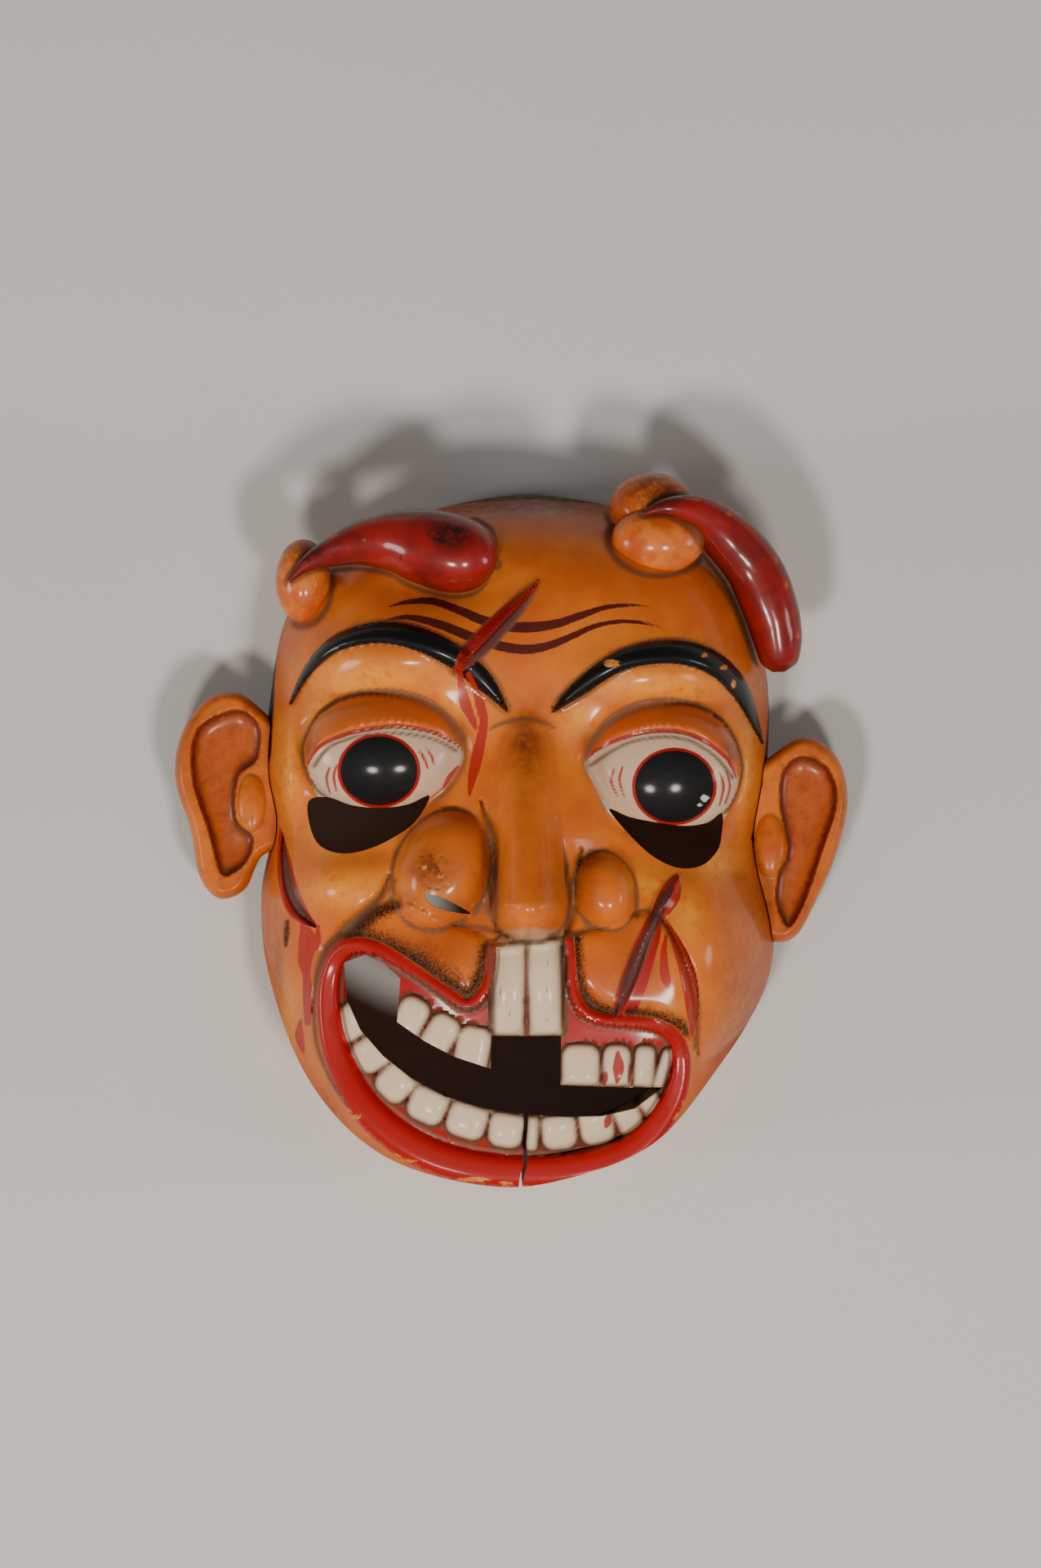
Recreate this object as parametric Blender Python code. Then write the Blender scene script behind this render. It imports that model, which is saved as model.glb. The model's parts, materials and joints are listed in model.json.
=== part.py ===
"""Carved and painted wooden mask of a wounded, grimacing man, lying face up on its flat back rim.

The face is one block, carved in front and hollowed behind. The two ears are carved by themselves and
sit against the sides of the head. +Z is the way the face looks, +Y is towards the top of the head, and
the back rim lies at z = 0. The plan of the carving is drawn on a sheet, in points with x to the right
and y down, and its relief is given in hundredths of the block's depth.
"""
import math

import bmesh
import bpy
import numpy as np
from mathutils import Vector

# Driving sizes, in metres
HEAD_HEIGHT = 0.242
BLOCK_DEPTH = 0.080
RIM_BAND = 0.012
RIM_WALL = 0.009
FACE_WALL = 0.0085
EAR_BACK = 0.018
EAR_THICKNESS = 0.013
EAR_SEAM = 0.0005
CRACK_WIDTH = 0.0014
CRACK_LEAN = 0.0045
CHIN_TUCK = 0.011

# The sheet that the carving is drawn on
SHEET_MIDDLE = (627, 1016)
SHEET_CROWN = 604
SHEET_CHIN = 1454
POINT = HEAD_HEIGHT / (SHEET_CHIN - SHEET_CROWN)
RELIEF = BLOCK_DEPTH / 100

# How finely things are carved: cells along a grid, and the triangles kept
FACE_CELLS = 230
FACE_TRIANGLES = 4900
EAR_CELLS = 56
EAR_TRIANGLES = 520
HOLLOW_CELLS = 60
HOLLOW_TRIANGLES = 480
SKIRT_RINGS = 6

# The head: its outline at the back rim, and how square the dome's shoulders are
HEAD_CENTRE = (632, 1024)
HEAD_OUTLINE = [
    (640, 604), (745, 617), (850, 652), (912, 722), (941, 830), (941, 940), (928, 1036), (950, 1150),
    (930, 1240), (870, 1322), (798, 1400), (700, 1440), (600, 1451), (470, 1415), (380, 1330), (331, 1210),
    (318, 1100), (333, 1010), (322, 940), (330, 850), (347, 760), (390, 692), (455, 650), (540, 620),
]
SHOULDER_SIDE = 3.4
SHOULDER_CROWN = 5.5
SHOULDER_CHIN = 22.0
JAW_LEFT_POWER = 6
JAW_RIGHT_POWER = 3

# The chin draws in towards the back rim: where it starts on the sheet, and below what height
TUCK_FROM = 1150
TUCK_BELOW = 84
TUCK_POWER = 1.5

# Soft rises and hollows of the face: x, y, reach in x, reach in y, height
SWELLS = {
    "forehead": (640, 730, 190, 70, 3),
    "left brow": (485, 802, 105, 36, 7),
    "right brow": (815, 825, 100, 36, 7),
    "left socket": (470, 925, 105, 72, -9),
    "right socket": (812, 950, 100, 76, -9),
    "left temple": (350, 945, 17, 75, 9),
    "right temple": (922, 965, 16, 75, 7),
    "left cheek": (405, 1088, 62, 42, 9),
    "right cheek": (876, 1130, 60, 95, 10),
    "muzzle": (648, 1190, 175, 75, 9),
    "left jaw": (352, 1215, 30, 90, 5),
    "left leech bed": (548, 716, 72, 30, -9),
}
SWELLS_FULL_FROM = 60

# Eyes: ball (x, y, reach in x, reach in y, top height), the lid's outline and the slit below the ball
BALL_FLOOR = 84
EYES = {
    "left": {
        "ball": (471, 922, 98, 76, 107),
        "lid": [(362, 940), (370, 894), (402, 852), (452, 829), (508, 828), (556, 854), (584, 916), (566, 913),
                (530, 898), (485, 891), (440, 896), (405, 909), (380, 934)],
        "slit": [(378, 981), (402, 976), (432, 986), (466, 989), (500, 985), (527, 974), (510, 1005),
                 (488, 1022), (456, 1038), (422, 1045), (393, 1036), (380, 1012)],
    },
    "right": {
        "ball": (812, 941, 95, 84, 107),
        "lid": [(700, 930), (718, 884), (760, 850), (812, 837), (866, 849), (906, 888), (920, 950), (901, 946),
                (876, 919), (842, 900), (806, 896), (764, 905), (716, 928)],
        "slit": [(745, 990), (770, 1000), (805, 1007), (838, 1011), (866, 1007), (884, 995), (884, 1020),
                 (878, 1042), (858, 1060), (828, 1062), (796, 1046), (766, 1017)],
    },
}
LID_RISE = 4
LID_EDGE = 8
EYE_CREASE = 2.2
EYE_CREASE_WIDTH = 7
EYE_FILLET = 2.5

# Nose: ridge and the broad hump round it (x, y, half width, height, softness), and the two wings
NOSE_FLOOR = 86
NOSE_RIDGE = [(645, 896, 34, 101, 1.3), (645, 940, 44, 109, 1.0), (646, 1000, 47, 121, 0.75),
              (648, 1060, 47, 134, 0.55), (649, 1106, 49, 143, 0.5)]
NOSE_HUMP = [(645, 900, 48, 96, 1.3), (645, 960, 96, 107, 1.3), (646, 1020, 116, 112, 1.2),
             (647, 1060, 114, 109, 1.1)]
WINGS = {
    "left": (545, 1066, 63, 82, 28, 120),
    "right": (739, 1092, 42, 55, -20, 116),
}
WING_FULLNESS = 1.5
HUMP_FILLET = 9
WING_FILLET = 2
RIDGE_FILLET = 9
NOSTRIL = [(520, 1094), (540, 1097), (562, 1108), (577, 1118), (556, 1116), (530, 1108)]

# Mouth: lip roll (x, y, half width, height of its crest), teeth between the gap points, and the open mouth
LIP_ROLL = [
    (603, 1160, 5, 110), (597, 1204, 6, 112), (574, 1229, 7, 111), (540, 1209, 7, 110), (472, 1165, 8, 104),
    (432, 1158, 10, 98), (408, 1182, 12, 92), (403, 1236, 14, 89), (417, 1299, 17, 88), (455, 1362, 20, 90),
    (522, 1410, 21, 92), (605, 1431, 20, 93), (700, 1429, 19, 92), (778, 1402, 17, 90), (824, 1344, 14, 91),
    (832, 1284, 10, 95), (802, 1254, 8, 102), (730, 1245, 7, 109), (704, 1218, 6, 111), (697, 1150, 5, 110),
]
LIP_SWELL = 0.75
LIP_APRON = 0.8
LIP_FILLET = 2.5
GUM_DROP = 6
GUM_EDGE = 12
TOOTH_ROWS = {
    "lower": ([(416, 1232), (442, 1270), (467, 1309), (501, 1342), (547, 1363), (597, 1379), (643, 1386),
               (661, 1387), (708, 1383), (753, 1375), (786, 1361), (810, 1343)], 23, 4.5),
    "upper left": ([(484, 1236), (521, 1256), (557, 1278), (602, 1287)], 29, 4.5),
    "upper right": ([(686, 1302), (736, 1303), (774, 1303), (803, 1305), (820, 1310)], 27, 4.5),
    "front": ([(600, 1206), (645, 1207), (690, 1206)], 62, 6),
}
MOUTH = [
    (422, 1178), (448, 1168), (470, 1178), (491, 1197), (487, 1250), (520, 1273), (556, 1292), (601, 1307),
    (602, 1267), (687, 1267), (686, 1327), (760, 1330), (812, 1330), (777, 1356), (737, 1365), (690, 1366),
    (640, 1362), (595, 1356), (545, 1341), (503, 1318), (470, 1292), (442, 1260), (425, 1222),
]

# Raised muzzle pads beside the nose, and the folds cut round them
PADS = {
    "left": [(482, 1102), (432, 1146), (474, 1162), (520, 1190), (572, 1222), (590, 1190), (594, 1150),
             (548, 1128)],
    "right": [(705, 1146), (707, 1200), (742, 1237), (800, 1243), (836, 1266), (848, 1222), (826, 1152),
              (792, 1116), (742, 1136)],
}
PAD_RISE = 4
PAD_EDGE = 22
FOLDS = {
    "left cheek": ([(477, 1072, 4), (464, 1098, 6), (444, 1117, 8), (422, 1139, 8), (399, 1165, 8),
                    (388, 1200, 6), (383, 1240, 2)], 3),
    "right cheek": ([(806, 1118, 3), (836, 1170, 7), (852, 1226, 7), (854, 1290, 3)], 3),
    "left nose groove": ([(590, 982, 3), (603, 1030, 11), (608, 1090, 11), (610, 1138, 5)], 3.5),
    "right nose groove": ([(712, 1040, 3), (704, 1085, 10), (699, 1122, 9), (692, 1142, 4)], 3.5),
}

# Brows, and the welts and the cut of the wounds: x, y, half width
BROWS = {
    "left": [(355, 862, 1), (380, 818, 6), (418, 786, 10), (478, 776, 13), (540, 795, 14), (590, 832, 12),
             (622, 872, 1)],
    "right": [(676, 873, 1), (706, 846, 9), (760, 810, 12), (822, 799, 14), (872, 812, 14), (908, 848, 11),
              (935, 910, 1)],
}
BROW_RISE = 4
WELTS = {
    "forehead": ([(658, 715, 1), (638, 738, 8), (612, 765, 12), (582, 796, 13), (557, 825, 2)], 6),
    "right cheek": ([(831, 1073, 3), (816, 1098, 14), (796, 1132, 8), (772, 1190, 10), (750, 1249, 1)], 4),
}
CHEEK_CUT = [(346, 1020, 1), (348, 1049, 6), (353, 1084, 10), (364, 1111, 11), (388, 1135, 1)]
CHEEK_CUT_DEPTH = 6

# Growths on the forehead: leeches (x, y, radius, centre height), swellings (x, y, three reaches, height)
LEECHES = {
    "left": [
        (353, 713, 3, 70), (376, 691, 11, 71), (405, 677, 19, 72), (442, 666, 29, 75), (483, 663, 39, 78),
        (520, 670, 48, 82), (558, 680, 49, 85), (584, 686, 42, 87), (600, 690, 28, 88), (608, 692, 10, 88),
    ],
    "right": [
        (788, 630, 4, 82), (818, 621, 13, 80), (856, 630, 24, 71), (888, 655, 33, 62), (921, 693, 36, 56),
        (941, 736, 36, 54), (951, 772, 33, 52), (954, 796, 29, 51), (954, 813, 23, 50), (954, 824, 8, 50),
    ],
}
SWELLINGS = {
    "left": (371, 711, 34, 51, 40, 57),
    "right upper": (799, 622, 53, 43, 46, 60),
    "right lower": (806, 661, 57, 42, 40, 71),
}

# Cuts that go right through, from a relief height inside the hollow to one above the nose, and the crack
INSIDE_HOLLOW = 45
ABOVE_NOSE = 200
BELOW_RIM = -20
CRACK_SEEN = 0.52
CRACK = [(643, 1340), (644, 1372), (642, 1398), (644, 1420), (639, 1442), (637, 1475)]

# Ears: outline with a stub reaching into the head, the shell's hollow, and the small lobe at the ear hole
EARS = {
    "ear_left": {
        "centre": (284, 975),
        "outline": [(345, 900), (318, 868), (286, 847), (250, 857), (220, 900), (213, 955), (232, 1016),
                    (243, 1074), (267, 1101), (298, 1090), (318, 1050), (348, 1030), (356, 965)],
        "hollow": [(287, 868), (316, 886), (316, 928), (292, 952), (289, 1002), (310, 1026), (300, 1058),
                   (270, 1072), (254, 1020), (233, 950), (240, 892)],
        "lobe": (307, 984, 17, 36),
    },
    "ear_right": {
        "centre": (972, 1030),
        "outline": [(905, 965), (943, 928), (988, 902), (1026, 926), (1040, 980), (1026, 1045), (999, 1108),
                    (975, 1148), (945, 1152), (918, 1120), (895, 1050)],
        "hollow": [(984, 925), (1016, 940), (1027, 982), (1008, 1045), (985, 1110), (966, 1136), (951, 1108),
                   (953, 1072), (965, 1040), (955, 985), (960, 942)],
        "lobe": (944, 1036, 19, 38),
    },
}
EAR_EDGE_SHARE = 0.45
EAR_HOLLOW_SHARE = 0.32
EAR_HOLLOW_EDGE = 24
EAR_ROUNDING = 11
EAR_LOBE_SHARE = 0.2

FACE_COLOUR = (0.54, 0.11, 0.012)
EAR_COLOUR = (0.44, 0.09, 0.014)


def smooth(points, closed, steps=6):
    """A smooth curve through the points, with any further columns carried along."""
    points = np.array(points, float)
    count = len(points)
    spans = count if closed else count - 1
    rows = []
    for i in range(spans):
        if closed:
            before, start, end, after = (points[(i + k) % count] for k in (-1, 0, 1, 2))
        else:
            before, after = points[max(i - 1, 0)], points[min(i + 2, count - 1)]
            start, end = points[i], points[i + 1]
        for step in range(steps):
            t = step / steps
            rows.append(
                0.5 * (2 * start + (end - before) * t + (2 * before - 5 * start + 4 * end - after) * t**2
                       + (3 * start - before - 3 * end + after) * t**3)
            )
    if not closed:
        rows.append(points[-1])
    return np.array(rows)


def nearest(x, y, route):
    """Distance to a route of points, and the route's further columns at the nearest place."""
    best = np.full(x.shape, 1e9)
    carried = [np.zeros(x.shape) for _ in range(route.shape[1] - 2)]
    for a, b in zip(route[:-1], route[1:]):
        run = b[:2] - a[:2]
        t = ((x - a[0]) * run[0] + (y - a[1]) * run[1]) / max(run @ run, 1e-9)
        t = np.clip(t, 0, 1)
        distance = np.hypot(x - a[0] - t * run[0], y - a[1] - t * run[1])
        closer = distance < best
        best = np.where(closer, distance, best)
        for k, column in enumerate(carried):
            column[closer] = (a[k + 2] + t * (b[k + 2] - a[k + 2]))[closer]
    return [best, *carried]


def depth_inside(x, y, outline):
    """Distance in from a closed outline, negative outside it."""
    ring = np.vstack([outline, outline[:1]])
    distance = nearest(x, y, ring[:, :2])[0]
    inside = np.zeros(x.shape, bool)
    for a, b in zip(ring[:-1], ring[1:]):
        crosses = (a[1] > y) != (b[1] > y)
        rise = b[1] - a[1] if b[1] != a[1] else 1e-9
        inside ^= crosses & (x < a[0] + (y - a[1]) / rise * (b[0] - a[0]))
    return np.where(inside, distance, -distance)


def rounded_step(depth, width):
    """A quarter-round edge: 0 outside, 1 from the given width inwards."""
    share = 1 - np.clip(depth / width, 0, 1)
    return np.sqrt(np.clip(1 - share**2, 0, 1))


def blend(a, b, reach):
    """The higher of two surfaces, with a fillet where they meet."""
    h = np.clip(0.5 + 0.5 * (a - b) / reach, 0, 1)
    return b + (a - b) * h + reach * h * (1 - h)


def rim_radius(angle, outline, centre):
    """Distance from the centre to the outline, at each angle."""
    offset = outline - np.array(centre)
    around = np.arctan2(offset[:, 1], offset[:, 0])
    order = np.argsort(around)
    return np.interp(angle, around[order], np.hypot(*offset.T)[order], period=2 * math.pi)


def dome(x, y, inset=0.0, lowered=0.0):
    """The plain rounded block before any carving."""
    dx, dy = x - HEAD_CENTRE[0], y - HEAD_CENTRE[1]
    radius = np.hypot(dx, dy)
    reach = rim_radius(np.arctan2(dy, dx), smooth(HEAD_OUTLINE, True), HEAD_CENTRE) - inset
    up = np.clip(-dy / np.maximum(radius, 1e-6), 0, 1)
    down = np.clip(dy / np.maximum(radius, 1e-6), 0, 1)
    jaw = np.where(dx < 0, down**JAW_LEFT_POWER, down**JAW_RIGHT_POWER)
    square = SHOULDER_SIDE + (SHOULDER_CROWN - SHOULDER_SIDE) * up**2 + (SHOULDER_CHIN - SHOULDER_SIDE) * jaw
    band = RIM_BAND / RELIEF
    share = np.clip(radius / reach, 0, 1)
    return band + (100 - lowered - band) * np.sqrt(1 - share**square)


def mound(x, y, centre, reaches, turn, floor, top, fullness):
    """A rounded mound that stands on a level floor, the flatter on top the fuller it is."""
    c, s = math.cos(math.radians(turn)), math.sin(math.radians(turn))
    dx, dy = x - centre[0], y - centre[1]
    u, v = (dx * c + dy * s) / reaches[0], (dy * c - dx * s) / reaches[1]
    share = np.clip(1 - (u**2 + v**2) ** fullness, 0, 1)
    return np.where(share > 0, floor + (top - floor) * np.sqrt(share), 0)


def roll(x, y, route, floor):
    """A ridge whose half width, height and softness run along its route, full at 0.5 and bell-shaped over 1."""
    distance, width, top, softness = nearest(x, y, smooth(route, False))
    share = np.clip(1 - (distance / width) ** 2.4, 0, 1)
    return np.where(share > 0, floor + (top - floor) * share ** np.maximum(softness, 0.1), 0)


def stroke(x, y, route):
    """1 on the middle line of a tapered stroke, 0 at its edges and beyond."""
    distance, width = nearest(x, y, smooth(route, False))[:2]
    return np.clip(1 - distance / np.maximum(width, 0.5), 0, 1)


def tooth(x, y, a, b, half_height, rise):
    """One tooth between two gap points, a rounded box turned to its row."""
    run = np.subtract(b, a)
    length = math.hypot(*run)
    dx, dy = x - (a[0] + b[0]) / 2, y - (a[1] + b[1]) / 2
    u = (dx * run[0] + dy * run[1]) / length / (length / 2)
    v = (dy * run[0] - dx * run[1]) / length / half_height
    return rise * np.clip(1 - np.abs(u) ** 2.8 - np.abs(v) ** 4, 0, 1) ** 0.4


def carve_eye(z, x, y, eye):
    """Eyeball in its socket, the lid over it, and the crease round both."""
    cx, cy, reach_x, reach_y, top = eye["ball"]
    away = np.hypot((x - cx) / reach_x, (y - cy) / reach_y)
    lid = np.clip(depth_inside(x, y, smooth(eye["lid"], True)) / LID_EDGE, 0, 1)
    rise = top - BALL_FLOOR + LID_RISE * lid**2 * (3 - 2 * lid)
    ball = np.where(away < 1, BALL_FLOOR + rise * np.sqrt(np.clip(1 - away**2, 0, 1)), 0)
    z = blend(z, ball, EYE_FILLET)
    rim = np.abs(away - 1) * min(reach_x, reach_y)
    return z - EYE_CREASE * np.exp(-((rim / EYE_CREASE_WIDTH) ** 2))


def carve_nose(z, x, y):
    """Broad hump, ridge and two wings, with the grooves between them."""
    z = blend(z, roll(x, y, NOSE_HUMP, NOSE_FLOOR), HUMP_FILLET)
    for cx, cy, reach_x, reach_y, turn, top in WINGS.values():
        wing = mound(x, y, (cx, cy), (reach_x, reach_y), turn, NOSE_FLOOR, top, WING_FULLNESS)
        z = blend(z, wing, WING_FILLET)
    return blend(z, roll(x, y, NOSE_RIDGE, NOSE_FLOOR), RIDGE_FILLET)


def carve_mouth(z, x, y):
    """Muzzle pads, the dropped gums inside the lips, the teeth, and the lip roll on the jaw."""
    for outline in PADS.values():
        z = z + PAD_RISE * rounded_step(depth_inside(x, y, smooth(outline, True)), PAD_EDGE)
    lips = smooth(LIP_ROLL, False)
    within = depth_inside(x, y, lips[:, :2])
    z = z - GUM_DROP * rounded_step(within, GUM_EDGE)
    for gaps, half_height, rise in TOOTH_ROWS.values():
        for a, b in zip(gaps[:-1], gaps[1:]):
            z = z + tooth(x, y, a, b, half_height, rise)
    distance, width, crest = nearest(x, y, lips)
    share = np.clip(1 - (distance / width) ** 3.2, 0, 1)
    swell = LIP_SWELL * width * POINT / RELIEF
    apron = np.where(within < 0, crest - swell - LIP_APRON * (distance - width), 0)
    return blend(z, np.where(share > 0, crest - swell + swell * np.sqrt(share), apron), LIP_FILLET)


def face_height(x, y):
    """Height of the carved front, in hundredths of the block's depth."""
    z = dome(x, y)
    for cx, cy, reach_x, reach_y, rise in SWELLS.values():
        away = ((x - cx) / reach_x) ** 2 + ((y - cy) / reach_y) ** 2
        z = z + rise * np.exp(-away) * np.clip(z / SWELLS_FULL_FROM, 0, 1)
    for eye in EYES.values():
        z = carve_eye(z, x, y, eye)
    z = carve_nose(z, x, y)
    z = carve_mouth(z, x, y)
    for route, depth in FOLDS.values():
        z = z - depth * stroke(x, y, route)
    for route in BROWS.values():
        z = z + BROW_RISE * rounded_step(stroke(x, y, route), 1)
    for route, rise in WELTS.values():
        z = z + rise * stroke(x, y, route)
    return z - CHEEK_CUT_DEPTH * stroke(x, y, CHEEK_CUT)


def hollow_height(x, y):
    """Height of the wearer's hollow: an inner dome that keeps a full wall behind the deepest carving."""
    wall = FACE_WALL / RELIEF
    inner = dome(x, y, RIM_WALL / POINT, wall)
    return np.maximum(np.minimum(inner, face_height(x, y) - wall), RIM_BAND / RELIEF)


def ear_height(ear):
    """Height of an ear's front over the sheet: rounded edge, dished shell and the lobe at the ear hole."""
    outline, shell = smooth(ear["outline"], True), smooth(ear["hollow"], True)
    back, thick = EAR_BACK / RELIEF, EAR_THICKNESS / RELIEF

    def height(x, y):
        edge = rounded_step(depth_inside(x, y, outline), EAR_ROUNDING)
        z = back + thick * (EAR_EDGE_SHARE + (1 - EAR_EDGE_SHARE) * edge)
        z = z - EAR_HOLLOW_SHARE * thick * rounded_step(depth_inside(x, y, shell), EAR_HOLLOW_EDGE)
        cx, cy, reach_x, reach_y = ear["lobe"]
        lobe = np.clip(1 - ((x - cx) / reach_x) ** 2 - ((y - cy) / reach_y) ** 2, 0, 1)
        return z + EAR_LOBE_SHARE * thick * np.sqrt(lobe)

    return height


def place(x, y, z):
    """World position of a sheet point at a relief height, the chin drawn in below the lip."""
    chin = np.clip((y - TUCK_FROM) / (SHEET_CHIN - TUCK_FROM), 0, None) ** TUCK_POWER
    low = np.clip(1 - z / TUCK_BELOW, 0, 1) ** TUCK_POWER
    radius = np.hypot(x - HEAD_CENTRE[0], y - HEAD_CENTRE[1])
    draw = CHIN_TUCK / POINT * chin * low / np.maximum(radius, 1)
    x = x + draw * (HEAD_CENTRE[0] - x)
    y = y + draw * (HEAD_CENTRE[1] - y)
    return ((x - SHEET_MIDDLE[0]) * POINT, (SHEET_MIDDLE[1] - y) * POINT, z * RELIEF)


def carved_block(name, outline, centre, height, floor, cells, inset=0.0, crowding=1.5):
    """A grid pulled to the outline, raised to the carved surface and closed down to a flat floor.

    It is shaped in sheet points and relief heights first, and then put in place.
    """
    bm = bmesh.new()
    bmesh.ops.create_grid(bm, x_segments=cells, y_segments=cells, size=1.0)
    flat = np.array([v.co[:2] for v in bm.verts])
    across = flat[:, 0] * np.sqrt(1 - flat[:, 1] ** 2 / 2)
    along = flat[:, 1] * np.sqrt(1 - flat[:, 0] ** 2 / 2)
    share = np.clip(np.hypot(across, along), 0, 1)
    angle = np.arctan2(-along, across)
    reach = rim_radius(angle, smooth(outline, True), centre) - inset
    share = 1 - (1 - share) ** crowding
    x = centre[0] + reach * share * np.cos(angle)
    y = centre[1] + reach * share * np.sin(angle)
    for vert, spot in zip(bm.verts, np.array([x, y, height(x, y)]).T):
        vert.co = Vector(spot)
    for rings_left in range(SKIRT_RINGS, 0, -1):
        border = [edge for edge in bm.edges if edge.is_boundary]
        skirt = bmesh.ops.extrude_edge_only(bm, edges=border)["geom"]
        for vert in (item for item in skirt if isinstance(item, bmesh.types.BMVert)):
            vert.co.z -= (vert.co.z - floor / RELIEF) / rings_left
    bmesh.ops.triangle_fill(bm, edges=[edge for edge in bm.edges if edge.is_boundary], use_beauty=True)
    bmesh.ops.triangulate(bm, faces=bm.faces)
    for vert in bm.verts:
        vert.co = Vector(place(*vert.co))
    bmesh.ops.recalc_face_normals(bm, faces=bm.faces)
    if bm.calc_volume(signed=True) < 0:
        bmesh.ops.reverse_faces(bm, faces=bm.faces)
    return new_object(name, bm)


def prism(name, outline, low, high, lean=0.0):
    """A block with the outline's plan, for cutting right through, leaning sideways over its height."""
    bm = bmesh.new()
    ring = [bm.verts.new((*place(x, y, high)[:2], low * RELIEF)) for x, y in outline]
    face = bm.faces.new(ring)
    raised = bmesh.ops.extrude_face_region(bm, geom=[face])["geom"]
    for vert in (item for item in raised if isinstance(item, bmesh.types.BMVert)):
        vert.co.z = high * RELIEF
        vert.co.x += lean
    bmesh.ops.recalc_face_normals(bm, faces=bm.faces)
    return new_object(name, bm)


def leech(name, route):
    """A fat tapering body along its route, as a bevelled curve made into a mesh."""
    rows = smooth(route, False, 3)
    curve = bpy.data.curves.new(name + "_curve", "CURVE")
    curve.dimensions = "3D"
    curve.bevel_depth = POINT
    curve.bevel_resolution = 3
    curve.use_fill_caps = True
    spline = curve.splines.new("POLY")
    spline.points.add(len(rows) - 1)
    for point, (x, y, radius, z) in zip(spline.points, rows):
        point.co = (*place(x, y, z), 1)
        point.radius = radius
    guide = bpy.data.objects.new(name + "_curve", curve)
    bpy.context.scene.collection.objects.link(guide)
    depsgraph = bpy.context.evaluated_depsgraph_get()
    bm = bmesh.new()
    bm.from_mesh(bpy.data.meshes.new_from_object(guide.evaluated_get(depsgraph)))
    bmesh.ops.remove_doubles(bm, verts=bm.verts, dist=1e-6)
    bmesh.ops.recalc_face_normals(bm, faces=bm.faces)
    bpy.data.objects.remove(guide)
    return new_object(name, bm)


def swelling(name, x, y, reach_x, reach_y, reach_z, z):
    """A round lump half sunk in the forehead."""
    bm = bmesh.new()
    bmesh.ops.create_uvsphere(bm, u_segments=16, v_segments=10, radius=POINT)
    middle = Vector(place(x, y, z))
    for vert in bm.verts:
        vert.co = middle + vert.co * Vector((reach_x, reach_y, reach_z))
    return new_object(name, bm)


def new_object(name, bm):
    mesh = bpy.data.meshes.new(name)
    bm.to_mesh(mesh)
    bm.free()
    obj = bpy.data.objects.new(name, mesh)
    cutters.objects.link(obj)
    obj.hide_render = True
    obj.display_type = "WIRE"
    return obj


def keep(obj, material):
    """Move a finished piece from the cutters to the mask's own collection."""
    cutters.objects.unlink(obj)
    mask.objects.link(obj)
    obj.hide_render = False
    obj.display_type = "TEXTURED"
    obj.data.materials.append(material)


def paint(name, colour, roughness):
    material = bpy.data.materials.new(name)
    material.use_nodes = True
    shader = material.node_tree.nodes["Principled BSDF"]
    shader.inputs["Base Color"].default_value = (*colour, 1)
    shader.inputs["Roughness"].default_value = roughness
    shader.inputs["Metallic"].default_value = 0.0
    return material


def thin_out(obj, triangles):
    """Keep the triangles where the carving turns, and few where it is plain."""
    modifier = obj.modifiers.new("Thin out", "DECIMATE")
    modifier.ratio = min(1.0, triangles / len(obj.data.polygons))


def boolean(obj, other, operation):
    modifier = obj.modifiers.new(f"{operation.title()} {other.name}", "BOOLEAN")
    modifier.operation = operation
    modifier.object = other
    modifier.solver = "EXACT"


def build_face():
    """The head block, its growths added, then hollowed, pierced and split by the crack."""
    face = carved_block("face", HEAD_OUTLINE, HEAD_CENTRE, face_height, 0.0, FACE_CELLS)
    thin_out(face, FACE_TRIANGLES)
    for side, route in LEECHES.items():
        boolean(face, leech(f"leech_{side}", route), "UNION")
    for side, lump in SWELLINGS.items():
        boolean(face, swelling(f"swelling_{side}", *lump), "UNION")
    hollow = carved_block(
        "hollow", HEAD_OUTLINE, HEAD_CENTRE, hollow_height, -FACE_WALL, HOLLOW_CELLS, RIM_WALL / POINT
    )
    thin_out(hollow, HOLLOW_TRIANGLES)
    boolean(face, hollow, "DIFFERENCE")
    through = {"mouth": np.array(MOUTH), "nostril": smooth(NOSTRIL, True, 2)}
    for side, eye in EYES.items():
        through[f"slit_{side}"] = smooth(eye["slit"], True, 2)
    for name, outline in through.items():
        boolean(face, prism(name, outline, INSIDE_HOLLOW, ABOVE_NOSE), "DIFFERENCE")
    half = (CRACK_WIDTH / POINT / 2, 0)
    middle = smooth(CRACK, False, 2)
    middle = middle - (CRACK_LEAN / POINT * CRACK_SEEN, 0)
    crack = prism("crack", np.vstack([middle - half, (middle + half)[::-1]]), BELOW_RIM, ABOVE_NOSE, CRACK_LEAN)
    boolean(face, crack, "DIFFERENCE")
    keep(face, paint("painted_wood_face", FACE_COLOUR, 0.3))


def build_ear(name, ear):
    """An ear blank carved in front, fitted to the side of the head with a thin seam."""
    obj = carved_block(
        name, ear["outline"], ear["centre"], ear_height(ear), EAR_BACK, EAR_CELLS, crowding=1.2
    )
    thin_out(obj, EAR_TRIANGLES)
    boolean(obj, seam, "DIFFERENCE")
    keep(obj, paint(f"painted_wood_{name}", EAR_COLOUR, 0.4))


def build_seam():
    """The head block grown by the seam, which the ears are fitted to."""
    block = carved_block("seam", HEAD_OUTLINE, HEAD_CENTRE, face_height, 0.0, FACE_CELLS)
    thin_out(block, FACE_TRIANGLES)
    grow = block.modifiers.new("Grow by the seam", "DISPLACE")
    grow.strength = EAR_SEAM
    grow.mid_level = 0.0
    return block


for leftover in list(bpy.data.objects):
    bpy.data.objects.remove(leftover)

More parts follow.
